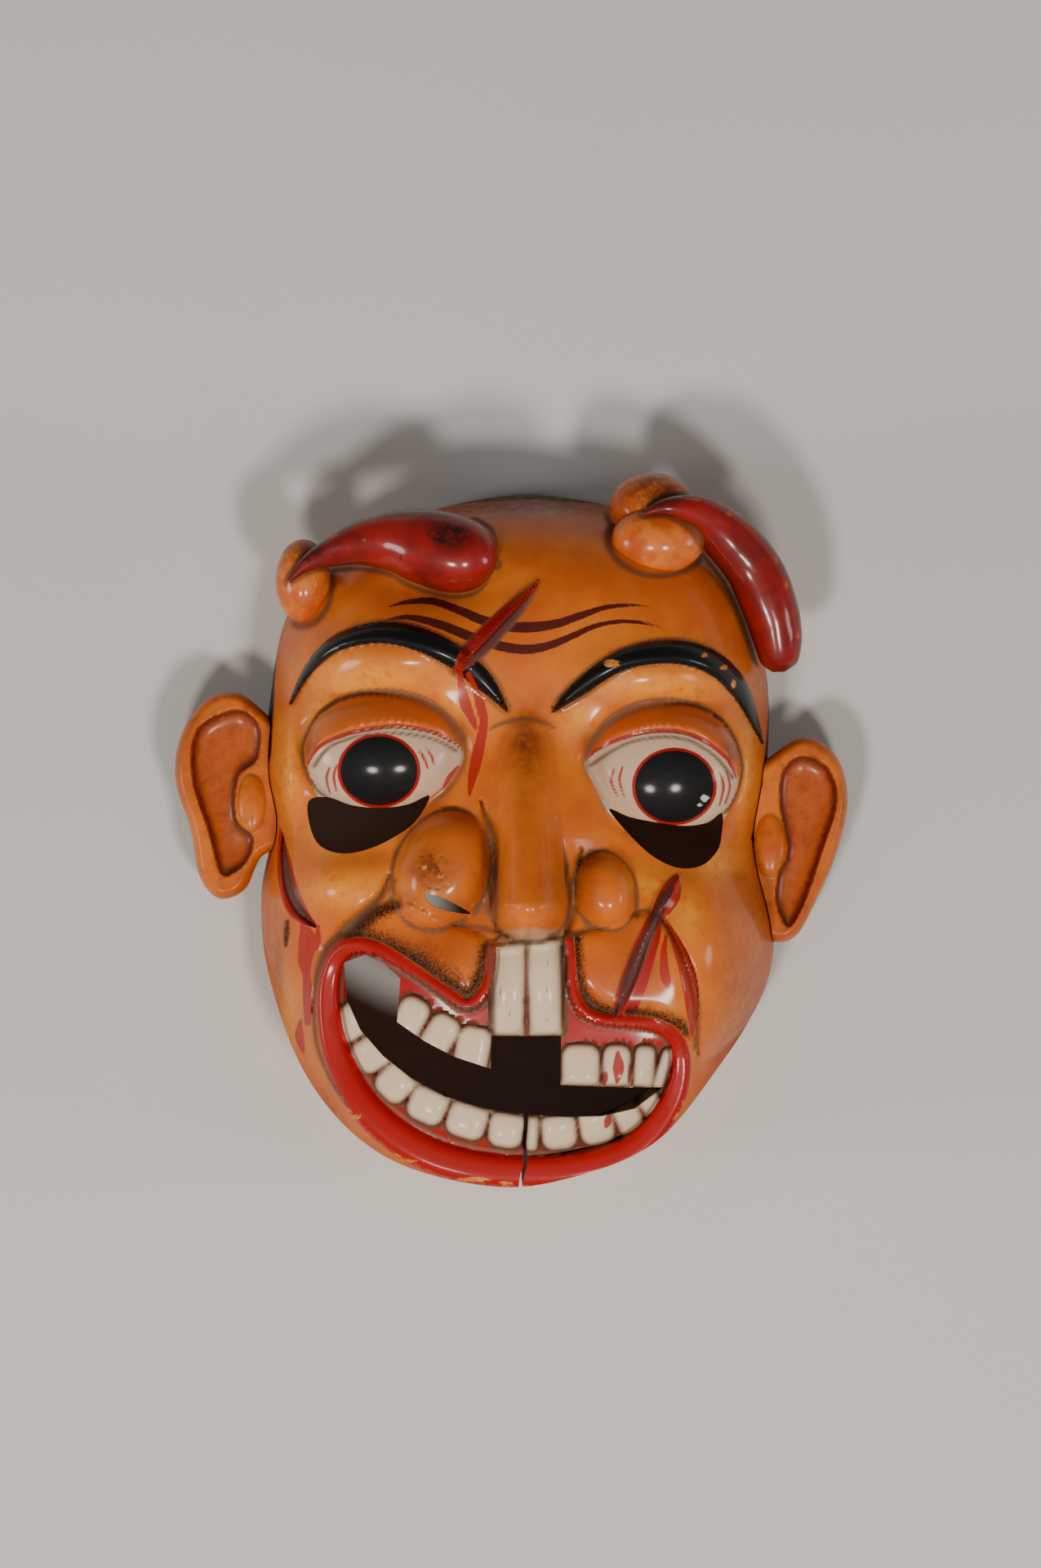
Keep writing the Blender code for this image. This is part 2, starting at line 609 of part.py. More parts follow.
mask = bpy.data.collections.new("kolam_mask")
cutters = bpy.data.collections.new("cutters")
for collection in (mask, cutters):
    bpy.context.scene.collection.children.link(collection)

seam = build_seam()
build_face()
for ear_name, ear_plan in EARS.items():
    build_ear(ear_name, ear_plan)
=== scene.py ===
# %% [markdown]
# # A carved and painted mask, face up on a table
# This lesson rebuilds one real thing: a wooden dance mask of a wounded, grimacing man, carved from one
# block, with two ears carved by themselves. A plain solid model of it, the frame, has already been made
# at its real size. We load it first. Everything we dress it with has to stay inside that box.

import json
import math

import bmesh
import bpy
import numpy as np
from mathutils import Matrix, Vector

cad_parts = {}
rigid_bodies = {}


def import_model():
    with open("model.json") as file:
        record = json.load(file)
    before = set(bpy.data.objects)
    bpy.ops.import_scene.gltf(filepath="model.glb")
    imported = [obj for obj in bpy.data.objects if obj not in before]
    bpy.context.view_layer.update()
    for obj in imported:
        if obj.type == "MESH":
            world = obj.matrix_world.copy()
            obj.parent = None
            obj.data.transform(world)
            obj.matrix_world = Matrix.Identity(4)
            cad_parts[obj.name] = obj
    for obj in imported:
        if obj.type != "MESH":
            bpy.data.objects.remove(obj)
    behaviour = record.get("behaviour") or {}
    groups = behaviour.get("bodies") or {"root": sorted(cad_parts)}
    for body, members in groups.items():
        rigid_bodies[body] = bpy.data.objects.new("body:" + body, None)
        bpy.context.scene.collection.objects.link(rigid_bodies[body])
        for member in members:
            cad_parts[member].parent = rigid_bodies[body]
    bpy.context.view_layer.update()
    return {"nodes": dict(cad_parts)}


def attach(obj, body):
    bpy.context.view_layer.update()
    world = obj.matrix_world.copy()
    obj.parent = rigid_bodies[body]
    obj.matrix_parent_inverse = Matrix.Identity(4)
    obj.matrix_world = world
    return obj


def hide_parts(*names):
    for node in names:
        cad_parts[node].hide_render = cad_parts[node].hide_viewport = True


for leftover in list(bpy.data.objects):
    bpy.data.objects.remove(leftover)

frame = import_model()
print("frame nodes:", sorted(frame["nodes"]))

# %% [markdown]
# ## The sheet
# A carver draws the face on the block before cutting. We do the same: every shape is drawn on a sheet in
# points, x to the right and y down, and its relief is given in hundredths of the block's depth. The
# drawing could also be done straight in metres, but sheet points keep the numbers short and let one
# number set the size of it all.

# %% Sizes and the head's outline
HEAD_HEIGHT = 0.242
BLOCK_DEPTH = 0.080
RIM_BAND = 0.012
RIM_WALL = 0.009
FACE_WALL = 0.0085
CRACK_WIDTH = 0.0014
CRACK_LEAN = 0.0045
CHIN_TUCK = 0.011
SHEET_MIDDLE = (627, 1016)
POINT = HEAD_HEIGHT / (1454 - 604)
RELIEF = BLOCK_DEPTH / 100
TUCK_FROM, TUCK_TO, TUCK_BELOW, TUCK_POWER = 1150, 1454, 84, 1.5
HEAD_CENTRE = (632, 1024)
HEAD_OUTLINE = [
    (640, 604), (745, 617), (850, 652), (912, 722), (941, 830), (941, 940), (928, 1036), (950, 1150),
    (930, 1240), (870, 1322), (798, 1400), (700, 1440), (600, 1451), (470, 1415), (380, 1330), (331, 1210),
    (318, 1100), (333, 1010), (322, 940), (330, 850), (347, 760), (390, 692), (455, 650), (540, 620),
]
print(f"one point is {POINT * 1000:.3f} mm, one step of relief {RELIEF * 1000:.1f} mm")

# %% [markdown]
# ## Smooth curves
# Nearly everything on this face is drawn as a few points with a smooth curve through them. Blender's own
# curves could do that, but our points also carry a width or a height along, and numpy keeps all the
# columns together. The formula is the Catmull-Rom one, which passes through every point that we give it.

# %% Draw a smooth curve
def smooth(points, closed, steps=6):
    """A smooth curve through the points, with any further columns carried along."""
    points = np.array(points, float)
    count = len(points)
    rows = []
    for i in range(count if closed else count - 1):
        if closed:
            before, start, end, after = (points[(i + k) % count] for k in (-1, 0, 1, 2))
        else:
            before, after = points[max(i - 1, 0)], points[min(i + 2, count - 1)]
            start, end = points[i], points[i + 1]
        for step in range(steps):
            t = step / steps
            rows.append(
                0.5 * (2 * start + (end - before) * t + (2 * before - 5 * start + 4 * end - after) * t**2
                       + (3 * start - before - 3 * end + after) * t**3)
            )
    if not closed:
        rows.append(points[-1])
    return np.array(rows)


circle = smooth([(1, 0), (0, 1), (-1, 0), (0, -1)], True)
print("a circle drawn through four points has", len(circle), "points")

# %% [markdown]
# ## Distances
# Each shape is either a stroke along a line or a patch inside an outline. Two questions cover both: how
# far is a spot from this line, and how deep inside this outline does it lie? We answer them with numpy
# for all the spots at once, which is much faster than asking point by point.

# %% Measure distances
def nearest(x, y, route):
    """Distance to a route of points, and the route's further columns at the nearest place."""
    best = np.full(x.shape, 1e9)
    carried = [np.zeros(x.shape) for _ in range(route.shape[1] - 2)]
    for a, b in zip(route[:-1], route[1:]):
        run = b[:2] - a[:2]
        t = np.clip(((x - a[0]) * run[0] + (y - a[1]) * run[1]) / max(run @ run, 1e-9), 0, 1)
        distance = np.hypot(x - a[0] - t * run[0], y - a[1] - t * run[1])
        closer = distance < best
        best = np.where(closer, distance, best)
        for k, column in enumerate(carried):
            column[closer] = (a[k + 2] + t * (b[k + 2] - a[k + 2]))[closer]
    return [best, *carried]


def depth_inside(x, y, outline):
    """Distance in from a closed outline, negative outside it."""
    ring = np.vstack([outline, outline[:1]])
    distance = nearest(x, y, ring[:, :2])[0]
    inside = np.zeros(x.shape, bool)
    for a, b in zip(ring[:-1], ring[1:]):
        crosses = (a[1] > y) != (b[1] > y)
        rise = b[1] - a[1] if b[1] != a[1] else 1e-9
        inside ^= crosses & (x < a[0] + (y - a[1]) / rise * (b[0] - a[0]))
    return np.where(inside, distance, -distance)


middle_depth = depth_inside(np.zeros(1), np.zeros(1), circle)[0]
print(f"the middle of the circle lies {middle_depth:.2f} inside it")

# %% [markdown]
# ## Edges and fillets
# A knife leaves no hard steps: an edge is rounded over, and two forms melt into each other. Bevels would
# round the edges of a finished mesh, but our forms are heights, so we round the heights themselves before
# any mesh is made.

# %% Round edges and join forms
def rounded_step(depth, width):
    """A quarter-round edge: 0 outside, 1 from the given width inwards."""
    return np.sqrt(np.clip(1 - (1 - np.clip(depth / width, 0, 1)) ** 2, 0, 1))


def blend(a, b, reach):
    """The higher of two surfaces, with a fillet where they meet."""
    h = np.clip(0.5 + 0.5 * (a - b) / reach, 0, 1)
    return b + (a - b) * h + reach * h * (1 - h)


def rim_radius(angle, outline, centre):
    """Distance from the centre to the outline, at each angle."""
    offset = outline - np.array(centre)
    around = np.arctan2(offset[:, 1], offset[:, 0])
    order = np.argsort(around)
    return np.interp(angle, around[order], np.hypot(*offset.T)[order], period=2 * math.pi)


print("a step 10 points wide rises to", rounded_step(np.array([2.0, 5.0, 10.0]), 10).round(2), "at 2, 5, 10")

# %% [markdown]
# ## The plain block
# Before any carving the block is a dome with square shoulders: steep sides, a full crown and a sharp
# lower edge where the lip turns under. A superellipse gives that profile with one exponent, which we vary
# round the outline. Softly swollen places, such as the cheeks, are added as bell curves.

# %% The block and its soft swellings
SHOULDER_SIDE, SHOULDER_CROWN, SHOULDER_CHIN = 3.4, 5.5, 22.0
JAW_LEFT_POWER, JAW_RIGHT_POWER = 6, 3
SWELLS_FULL_FROM = 60
SWELLS = {
    "forehead": (640, 730, 190, 70, 3),
    "left brow": (485, 802, 105, 36, 7), "right brow": (815, 825, 100, 36, 7),
    "left socket": (470, 925, 105, 72, -9), "right socket": (812, 950, 100, 76, -9),
    "left temple": (350, 945, 17, 75, 9), "right temple": (922, 965, 16, 75, 7),
    "left cheek": (405, 1088, 62, 42, 9), "right cheek": (876, 1130, 60, 95, 10),
    "muzzle": (648, 1190, 175, 75, 9), "left jaw": (352, 1215, 30, 90, 5),
    "left leech bed": (548, 716, 72, 30, -9),
}


def dome(x, y, inset=0.0, lowered=0.0):
    """The plain rounded block before any carving."""
    dx, dy = x - HEAD_CENTRE[0], y - HEAD_CENTRE[1]
    radius = np.hypot(dx, dy)
    reach = rim_radius(np.arctan2(dy, dx), smooth(HEAD_OUTLINE, True), HEAD_CENTRE) - inset
    up = np.clip(-dy / np.maximum(radius, 1e-6), 0, 1)
    down = np.clip(dy / np.maximum(radius, 1e-6), 0, 1)
    jaw = np.where(dx < 0, down**JAW_LEFT_POWER, down**JAW_RIGHT_POWER)
    square = SHOULDER_SIDE + (SHOULDER_CROWN - SHOULDER_SIDE) * up**2 + (SHOULDER_CHIN - SHOULDER_SIDE) * jaw
    band = RIM_BAND / RELIEF
    return band + (100 - lowered - band) * np.sqrt(1 - np.clip(radius / reach, 0, 1) ** square)


middle_height = dome(np.array([640.0]), np.array([1000.0]))[0] * RELIEF
print(f"the block is {middle_height * 1000:.1f} mm deep in the middle")

# %% [markdown]
# ## Eyes
# The eyes bulge like half-sunk balls under a cut lid, with a crease round them. The lid is folded into
# the ball's own height, so that it swells out of it as one skin. Sculpting by hand would do too, but
# forms from numbers can be checked against the frame.

# %% Carve the eyes
BALL_FLOOR = 84
EYES = {
    "left": {
        "ball": (471, 922, 98, 76, 107),
        "lid": [(362, 940), (370, 894), (402, 852), (452, 829), (508, 828), (556, 854), (584, 916),
        (566, 913),
                (530, 898), (485, 891), (440, 896), (405, 909), (380, 934)],
        "slit": [(378, 981), (402, 976), (432, 986), (466, 989), (500, 985), (527, 974), (510, 1005),
        (488, 1022),
                 (456, 1038), (422, 1045), (393, 1036), (380, 1012)],
    },
    "right": {
        "ball": (812, 941, 95, 84, 107),
        "lid": [(700, 930), (718, 884), (760, 850), (812, 837), (866, 849), (906, 888), (920, 950),
        (901, 946),
                (876, 919), (842, 900), (806, 896), (764, 905), (716, 928)],
        "slit": [(745, 990), (770, 1000), (805, 1007), (838, 1011), (866, 1007), (884, 995), (884, 1020),
                 (878, 1042), (858, 1060), (828, 1062), (796, 1046), (766, 1017)],
    },
}
LID_RISE, LID_EDGE, EYE_CREASE, EYE_CREASE_WIDTH, EYE_FILLET = 4, 8, 2.2, 7, 2.5


def carve_eye(z, x, y, eye):
    """Eyeball in its socket, the lid over it, and the crease round both."""
    cx, cy, reach_x, reach_y, top = eye["ball"]
    away = np.hypot((x - cx) / reach_x, (y - cy) / reach_y)
    lid = np.clip(depth_inside(x, y, smooth(eye["lid"], True)) / LID_EDGE, 0, 1)
    rise = top - BALL_FLOOR + LID_RISE * lid**2 * (3 - 2 * lid)
    ball = np.where(away < 1, BALL_FLOOR + rise * np.sqrt(np.clip(1 - away**2, 0, 1)), 0)
    z = blend(z, ball, EYE_FILLET)
    rim = np.abs(away - 1) * min(reach_x, reach_y)
    return z - EYE_CREASE * np.exp(-((rim / EYE_CREASE_WIDTH) ** 2))


eyes_stand = [round(eye["ball"][4] * RELIEF * 1000, 1) for eye in EYES.values()]
print("the eyeballs stand", eyes_stand, "mm above the table")

# %% [markdown]
# ## Nose
# The nose is a broad hump with a ridge and two wings. Each is a simple rounded form that we melt into the
# block with a small fillet, much as a carver leaves wood standing and rounds it. The ridge changes its
# width, height and softness on the way down, so those are columns of its route.

# %% Carve the nose
NOSE_FLOOR = 86
NOSE_RIDGE = [(645, 896, 34, 101, 1.3), (645, 940, 44, 109, 1.0), (646, 1000, 47, 121, 0.75),
              (648, 1060, 47, 134, 0.55), (649, 1106, 49, 143, 0.5)]
NOSE_HUMP = [(645, 900, 48, 96, 1.3), (645, 960, 96, 107, 1.3), (646, 1020, 116, 112, 1.2),
             (647, 1060, 114, 109, 1.1)]
WINGS = {"left": (545, 1066, 63, 82, 28, 120), "right": (739, 1092, 42, 55, -20, 116)}
WING_FULLNESS = 1.5
RIDGE_PROFILE, LEAST_SOFTNESS = 2.4, 0.1
HUMP_FILLET, WING_FILLET, RIDGE_FILLET = 9, 2, 9
NOSTRIL = [(520, 1094), (540, 1097), (562, 1108), (577, 1118), (556, 1116), (530, 1108)]


def mound(x, y, centre, reaches, turn, floor, top, fullness):
    """A rounded mound that stands on a level floor, the flatter on top the fuller it is."""
    c, s = math.cos(math.radians(turn)), math.sin(math.radians(turn))
    dx, dy = x - centre[0], y - centre[1]
    u, v = (dx * c + dy * s) / reaches[0], (dy * c - dx * s) / reaches[1]
    share = np.clip(1 - (u**2 + v**2) ** fullness, 0, 1)
    return np.where(share > 0, floor + (top - floor) * np.sqrt(share), 0)


def roll(x, y, route, floor):
    """A ridge whose half width, height and softness run along its route; 0.5 is full, over 1 is a bell."""
    distance, width, top, softness = nearest(x, y, smooth(route, False))
    share = np.clip(1 - (distance / width) ** RIDGE_PROFILE, 0, 1)
    return np.where(share > 0, floor + (top - floor) * share ** np.maximum(softness, LEAST_SOFTNESS), 0)


def carve_nose(z, x, y):
    """Broad hump, ridge and two wings, with the grooves between them."""
    z = blend(z, roll(x, y, NOSE_HUMP, NOSE_FLOOR), HUMP_FILLET)
    for cx, cy, reach_x, reach_y, turn, top in WINGS.values():
        wing = mound(x, y, (cx, cy), (reach_x, reach_y), turn, NOSE_FLOOR, top, WING_FULLNESS)
        z = blend(z, wing, WING_FILLET)
    return blend(z, roll(x, y, NOSE_RIDGE, NOSE_FLOOR), RIDGE_FILLET)


tip = carve_nose(dome(np.array([649.0]), np.array([1100.0])), np.array([649.0]), np.array([1100.0]))[0]
print(f"the nose reaches {tip * RELIEF * 1000:.1f} mm above the table")

# %% [markdown]
# ## Mouth
# The lips are a bead of changing width round a lopsided mouth, with the gums dropped behind it and a row
# of rounded boxes for teeth. Each row is given by the gaps between its teeth, so a crooked tooth is a
# moved gap. Separate tooth meshes would be easy too, but here the teeth are one wood with the lips.

# %% Carve the mouth
LIP_ROLL = [
    (603, 1160, 5, 110), (597, 1204, 6, 112), (574, 1229, 7, 111), (540, 1209, 7, 110), (472, 1165, 8, 104),
    (432, 1158, 10, 98), (408, 1182, 12, 92), (403, 1236, 14, 89), (417, 1299, 17, 88), (455, 1362, 20, 90),
    (522, 1410, 21, 92), (605, 1431, 20, 93), (700, 1429, 19, 92), (778, 1402, 17, 90), (824, 1344, 14, 91),
    (832, 1284, 10, 95), (802, 1254, 8, 102), (730, 1245, 7, 109), (704, 1218, 6, 111), (697, 1150, 5, 110),
]
LIP_SWELL, LIP_APRON, LIP_FILLET, GUM_DROP, GUM_EDGE = 0.75, 0.8, 2.5, 6, 12
TOOTH_ROWS = {
    "lower": ([(416, 1232), (442, 1270), (467, 1309), (501, 1342), (547, 1363), (597, 1379), (643, 1386),
               (661, 1387), (708, 1383), (753, 1375), (786, 1361), (810, 1343)], 23, 4.5),
    "upper left": ([(484, 1236), (521, 1256), (557, 1278), (602, 1287)], 29, 4.5),
    "upper right": ([(686, 1302), (736, 1303), (774, 1303), (803, 1305), (820, 1310)], 27, 4.5),
    "front": ([(600, 1206), (645, 1207), (690, 1206)], 62, 6),
}
MOUTH = [
    (422, 1178), (448, 1168), (470, 1178), (491, 1197), (487, 1250), (520, 1273), (556, 1292), (601, 1307),
    (602, 1267), (687, 1267), (686, 1327), (760, 1330), (812, 1330), (777, 1356), (737, 1365), (690, 1366),
    (640, 1362), (595, 1356), (545, 1341), (503, 1318), (470, 1292), (442, 1260), (425, 1222),
]
PADS = {
    "left": [(482, 1102), (432, 1146), (474, 1162), (520, 1190), (572, 1222), (590, 1190), (594, 1150),
    (548, 1128)],
    "right": [(705, 1146), (707, 1200), (742, 1237), (800, 1243), (836, 1266), (848, 1222), (826, 1152),
              (792, 1116), (742, 1136)],
}
PAD_RISE, PAD_EDGE = 4, 22
TOOTH_SIDES, TOOTH_ENDS, TOOTH_CROWN, LIP_PROFILE = 2.8, 4, 0.4, 3.2


def tooth(x, y, a, b, half_height, rise):
    """One tooth between two gap points, a rounded box turned to its row."""
    run = np.subtract(b, a)
    length = math.hypot(*run)
    dx, dy = x - (a[0] + b[0]) / 2, y - (a[1] + b[1]) / 2
    u = (dx * run[0] + dy * run[1]) / length / (length / 2)
    v = (dy * run[0] - dx * run[1]) / length / half_height
    return rise * np.clip(1 - np.abs(u) ** TOOTH_SIDES - np.abs(v) ** TOOTH_ENDS, 0, 1) ** TOOTH_CROWN


def carve_mouth(z, x, y):
    """Muzzle pads, the dropped gums inside the lips, the teeth, and the lip roll on the jaw."""
    for outline in PADS.values():
        z = z + PAD_RISE * rounded_step(depth_inside(x, y, smooth(outline, True)), PAD_EDGE)
    lips = smooth(LIP_ROLL, False)
    within = depth_inside(x, y, lips[:, :2])
    z = z - GUM_DROP * rounded_step(within, GUM_EDGE)
    for gaps, half_height, rise in TOOTH_ROWS.values():
        for a, b in zip(gaps[:-1], gaps[1:]):
            z = z + tooth(x, y, a, b, half_height, rise)
    distance, width, crest = nearest(x, y, lips)
    share = np.clip(1 - (distance / width) ** LIP_PROFILE, 0, 1)
    swell = LIP_SWELL * width * POINT / RELIEF
    apron = np.where(within < 0, crest - swell - LIP_APRON * (distance - width), 0)
    return blend(z, np.where(share > 0, crest - swell + swell * np.sqrt(share), apron), LIP_FILLET)


print("teeth:", sum(len(gaps) - 1 for gaps, _, _ in TOOTH_ROWS.values()))

# %% [markdown]
# ## Folds, brows and wounds
# Folds and brows, welts and cuts are all tapered strokes, raised or sunk. One function adds them up with
# the eyes, the nose and the mouth, and gives the height of the carved front at any spot of the sheet. A
# displaced plane with a painted height picture would be the usual way; a function needs no pixels and
# stays sharp.

# %% Carve the folds, brows and wounds
FOLDS = {
    "left cheek": ([(477, 1072, 4), (464, 1098, 6), (444, 1117, 8), (422, 1139, 8), (399, 1165, 8),
                    (388, 1200, 6), (383, 1240, 2)], 3),
    "right cheek": ([(806, 1118, 3), (836, 1170, 7), (852, 1226, 7), (854, 1290, 3)], 3),
    "left nose groove": ([(590, 982, 3), (603, 1030, 11), (608, 1090, 11), (610, 1138, 5)], 3.5),
    "right nose groove": ([(712, 1040, 3), (704, 1085, 10), (699, 1122, 9), (692, 1142, 4)], 3.5),
}
BROWS = {
    "left": [(355, 862, 1), (380, 818, 6), (418, 786, 10), (478, 776, 13), (540, 795, 14), (590, 832, 12),
             (622, 872, 1)],
    "right": [(676, 873, 1), (706, 846, 9), (760, 810, 12), (822, 799, 14), (872, 812, 14), (908, 848, 11),
              (935, 910, 1)],
}
BROW_RISE = 4
WELTS = {
    "forehead": ([(658, 715, 1), (638, 738, 8), (612, 765, 12), (582, 796, 13), (557, 825, 2)], 6),
    "right cheek": ([(831, 1073, 3), (816, 1098, 14), (796, 1132, 8), (772, 1190, 10), (750, 1249, 1)], 4),
}
CHEEK_CUT = [(346, 1020, 1), (348, 1049, 6), (353, 1084, 10), (364, 1111, 11), (388, 1135, 1)]
CHEEK_CUT_DEPTH = 6
PIT, PIT_FLARE = (643, 1223, 3.5, 2.5), 1.5
CRACK = [(643, 1340), (644, 1372), (642, 1398), (644, 1420), (639, 1442), (637, 1475)]


def stroke(x, y, route):
    """1 on the middle line of a tapered stroke, 0 at its edges and beyond."""
    distance, width = nearest(x, y, smooth(route, False))[:2]
    return np.clip(1 - distance / np.maximum(width, 0.5), 0, 1)


def face_height(x, y):
    """Height of the carved front, in hundredths of the block's depth."""
    z = dome(x, y)
    for cx, cy, reach_x, reach_y, rise in SWELLS.values():
        away = ((x - cx) / reach_x) ** 2 + ((y - cy) / reach_y) ** 2
        z = z + rise * np.exp(-away) * np.clip(z / SWELLS_FULL_FROM, 0, 1)
    for eye in EYES.values():
        z = carve_eye(z, x, y, eye)
    z = carve_mouth(carve_nose(z, x, y), x, y)
    for route, depth in FOLDS.values():
        z = z - depth * stroke(x, y, route)
    for route in BROWS.values():
        z = z + BROW_RISE * rounded_step(stroke(x, y, route), 1)
    for route, rise in WELTS.values():
        z = z + rise * stroke(x, y, route)
    z = z - PIT[3] * np.clip(PIT_FLARE - np.hypot(x - PIT[0], y - PIT[1]) / PIT[2], 0, 1)
    return z - CHEEK_CUT_DEPTH * stroke(x, y, CHEEK_CUT)


print("carved strokes:", len(FOLDS) + len(BROWS) + len(WELTS) + 1)

# %% [markdown]
# ## From the sheet to the world
# A spot of the sheet and its relief become a place in metres. The chin is drawn in a little towards the
# rim on the way, as a mask's chin is. A Lattice could bend the finished mesh like that, but then the
# paint, which is measured on the sheet, would no longer know where it was.

# %% Lead the sheet into the world
def tuck(x, y, z):
    """The share by which a spot of the sheet is drawn to the middle, nothing except at the chin."""
    chin = np.clip((y - TUCK_FROM) / (TUCK_TO - TUCK_FROM), 0, None) ** TUCK_POWER
    low = np.clip(1 - z / TUCK_BELOW, 0, 1) ** TUCK_POWER
    return CHIN_TUCK / POINT * chin * low / np.maximum(np.hypot(x - HEAD_CENTRE[0], y - HEAD_CENTRE[1]), 1)


def place(x, y, z):
    """World position of a sheet point at a relief height."""
    draw = tuck(x, y, z)
    x, y = x + draw * (HEAD_CENTRE[0] - x), y + draw * (HEAD_CENTRE[1] - y)
    return (x - SHEET_MIDDLE[0]) * POINT, (SHEET_MIDDLE[1] - y) * POINT, z * RELIEF


print("the nose ends at", [round(float(v) * 1000, 1) for v in place(*NOSE_RIDGE[-1][:2], tip)], "mm")

# %% [markdown]
# ## A closed block
# We pull a square grid to the round outline, lift it to the carved height, and close it down to a flat
# floor with a skirt. A remesh of a rough sculpt would also give a closed body, but a grid keeps its faces
# even, and glossy lacquer shows every uneven face.

# %% Make the head's block
SKIRT_RINGS = 6
HEAD_CELLS, HEAD_CROWDING = 262, 1.3
PAINTED, BARE = 0, 1

workshop = bpy.data.collections.new("workshop")
bpy.context.scene.collection.children.link(workshop)


def new_object(name, bm, spot=PAINTED):
    """A mesh object in the workshop, its faces marked with a material number."""
    bmesh.ops.recalc_face_normals(bm, faces=bm.faces)
    if bm.calc_volume(signed=True) < 0:
        bmesh.ops.reverse_faces(bm, faces=bm.faces)
    for face in bm.faces:
        face.material_index = spot
        face.smooth = True
    mesh = bpy.data.meshes.new(name)
    bm.to_mesh(mesh)
    bm.free()
    obj = bpy.data.objects.new(name, mesh)
    workshop.objects.link(obj)
    return obj


def carved_block(name, outline, centre, height, floor, cells, inset=0.0, crowding=1.5, spot=PAINTED):
    """A grid pulled to the outline, raised to the carved surface and closed down to a flat floor."""
    bm = bmesh.new()
    bmesh.ops.create_grid(bm, x_segments=cells, y_segments=cells, size=1.0)
    flat = np.array([v.co[:2] for v in bm.verts])
    across = flat[:, 0] * np.sqrt(1 - flat[:, 1] ** 2 / 2)
    along = flat[:, 1] * np.sqrt(1 - flat[:, 0] ** 2 / 2)
    share = 1 - (1 - np.clip(np.hypot(across, along), 0, 1)) ** crowding
    angle = np.arctan2(-along, across)
    reach = rim_radius(angle, smooth(outline, True), centre) - inset
    x = centre[0] + reach * share * np.cos(angle)
    y = centre[1] + reach * share * np.sin(angle)
    for vert, place_on_sheet in zip(bm.verts, np.array([x, y, height(x, y)]).T):
        vert.co = place_on_sheet
    for rings_left in range(SKIRT_RINGS, 0, -1):
        border = [edge for edge in bm.edges if edge.is_boundary]
        skirt = bmesh.ops.extrude_edge_only(bm, edges=border)["geom"]
        for vert in (item for item in skirt if isinstance(item, bmesh.types.BMVert)):
            vert.co.z -= (vert.co.z - floor / RELIEF) / rings_left
    bmesh.ops.triangle_fill(bm, edges=[edge for edge in bm.edges if edge.is_boundary], use_beauty=True)
    co = np.array([v.co for v in bm.verts])
    for vert, world in zip(bm.verts, np.array(place(*co.T)).T):
        vert.co = world
    return new_object(name, bm, spot)


head = carved_block("painted_head", HEAD_OUTLINE, HEAD_CENTRE, face_height, 0.0, HEAD_CELLS,
                    crowding=HEAD_CROWDING)
print("head block:", len(head.data.polygons), "faces")

# %% [markdown]
# ## The wearer's hollow
# Behind, the block is hollowed to a wall of under a centimetre, for the wearer's face. The hollow follows
# the carved front from inside, and a gouge leaves long shallow scallops in it. Solidify could give the
# wall, but it would thicken evenly and leave no flat rim to lie on.

# %% Make the hollow
HOLLOW_CELLS = 110
GOUGE_WIDTH, GOUGE_DEPTH = 13.0, 0.7


def hollow_height(x, y):
    """Height of the wearer's hollow, with the scallops that a gouge leaves."""
    wall = FACE_WALL / RELIEF
    inner = dome(x, y, RIM_WALL / POINT, wall)
    scallop = np.abs(np.sin(math.pi * x / GOUGE_WIDTH + 1.1 * np.sin(y / 47) + 0.7 * np.sin(y / 19 + x / 61)))
    height = np.minimum(inner, face_height(x, y) - wall) - GOUGE_DEPTH * (1 - scallop)
    return np.maximum(height, RIM_BAND / RELIEF)


hollow = carved_block("hollow", HEAD_OUTLINE, HEAD_CENTRE, hollow_height, -FACE_WALL, HOLLOW_CELLS,
                      RIM_WALL / POINT, spot=BARE)
print("hollow:", len(hollow.data.polygons), "faces")

# %% [markdown]
# ## Cutters
# The eye slits, the open mouth, one nostril and a drying crack through the chin go right through the
# wall. Each cutter is a block with the opening's plan. The crack's block leans, because a split in wood
# seldom runs straight from front to back.

# %% Make the cutters
INSIDE_HOLLOW, ABOVE_NOSE, BELOW_RIM, CRACK_SEEN = 45, 200, -20, 0.52
cuts = bpy.data.collections.new("cuts")
bpy.context.scene.collection.children.link(cuts)


def prism(name, outline, low, high, lean=0.0):
    """A block with the outline's plan, for cutting right through, leaning sideways over its height."""
    bm = bmesh.new()
    plan = np.array(place(*np.array(outline, float).T, np.full(len(outline), float(high)))).T
    face = bm.faces.new([bm.verts.new((x, y, low * RELIEF)) for x, y, _ in plan])
    raised = bmesh.ops.extrude_face_region(bm, geom=[face])["geom"]
    for vert in (item for item in raised if isinstance(item, bmesh.types.BMVert)):
        vert.co.z = high * RELIEF
        vert.co.x += lean
    return new_object(name, bm, BARE)


through = {"mouth": np.array(MOUTH), "nostril": smooth(NOSTRIL, True, 4)}
for side, eye in EYES.items():
    through[f"slit_{side}"] = smooth(eye["slit"], True, 4)
cutters = [hollow] + [prism(name, outline, INSIDE_HOLLOW, ABOVE_NOSE) for name, outline in through.items()]
half_crack = (CRACK_WIDTH / POINT / 2, 0)
crack_line = smooth(CRACK, False, 4) - (CRACK_LEAN / POINT * CRACK_SEEN, 0)
cutters.append(prism("crack", np.vstack([crack_line - half_crack, (crack_line + half_crack)[::-1]]),
                     BELOW_RIM, ABOVE_NOSE, CRACK_LEAN))
for cutter in cutters:
    workshop.objects.unlink(cutter)
    cuts.objects.link(cutter)
print("cutters:", [cutter.name for cutter in cutters])

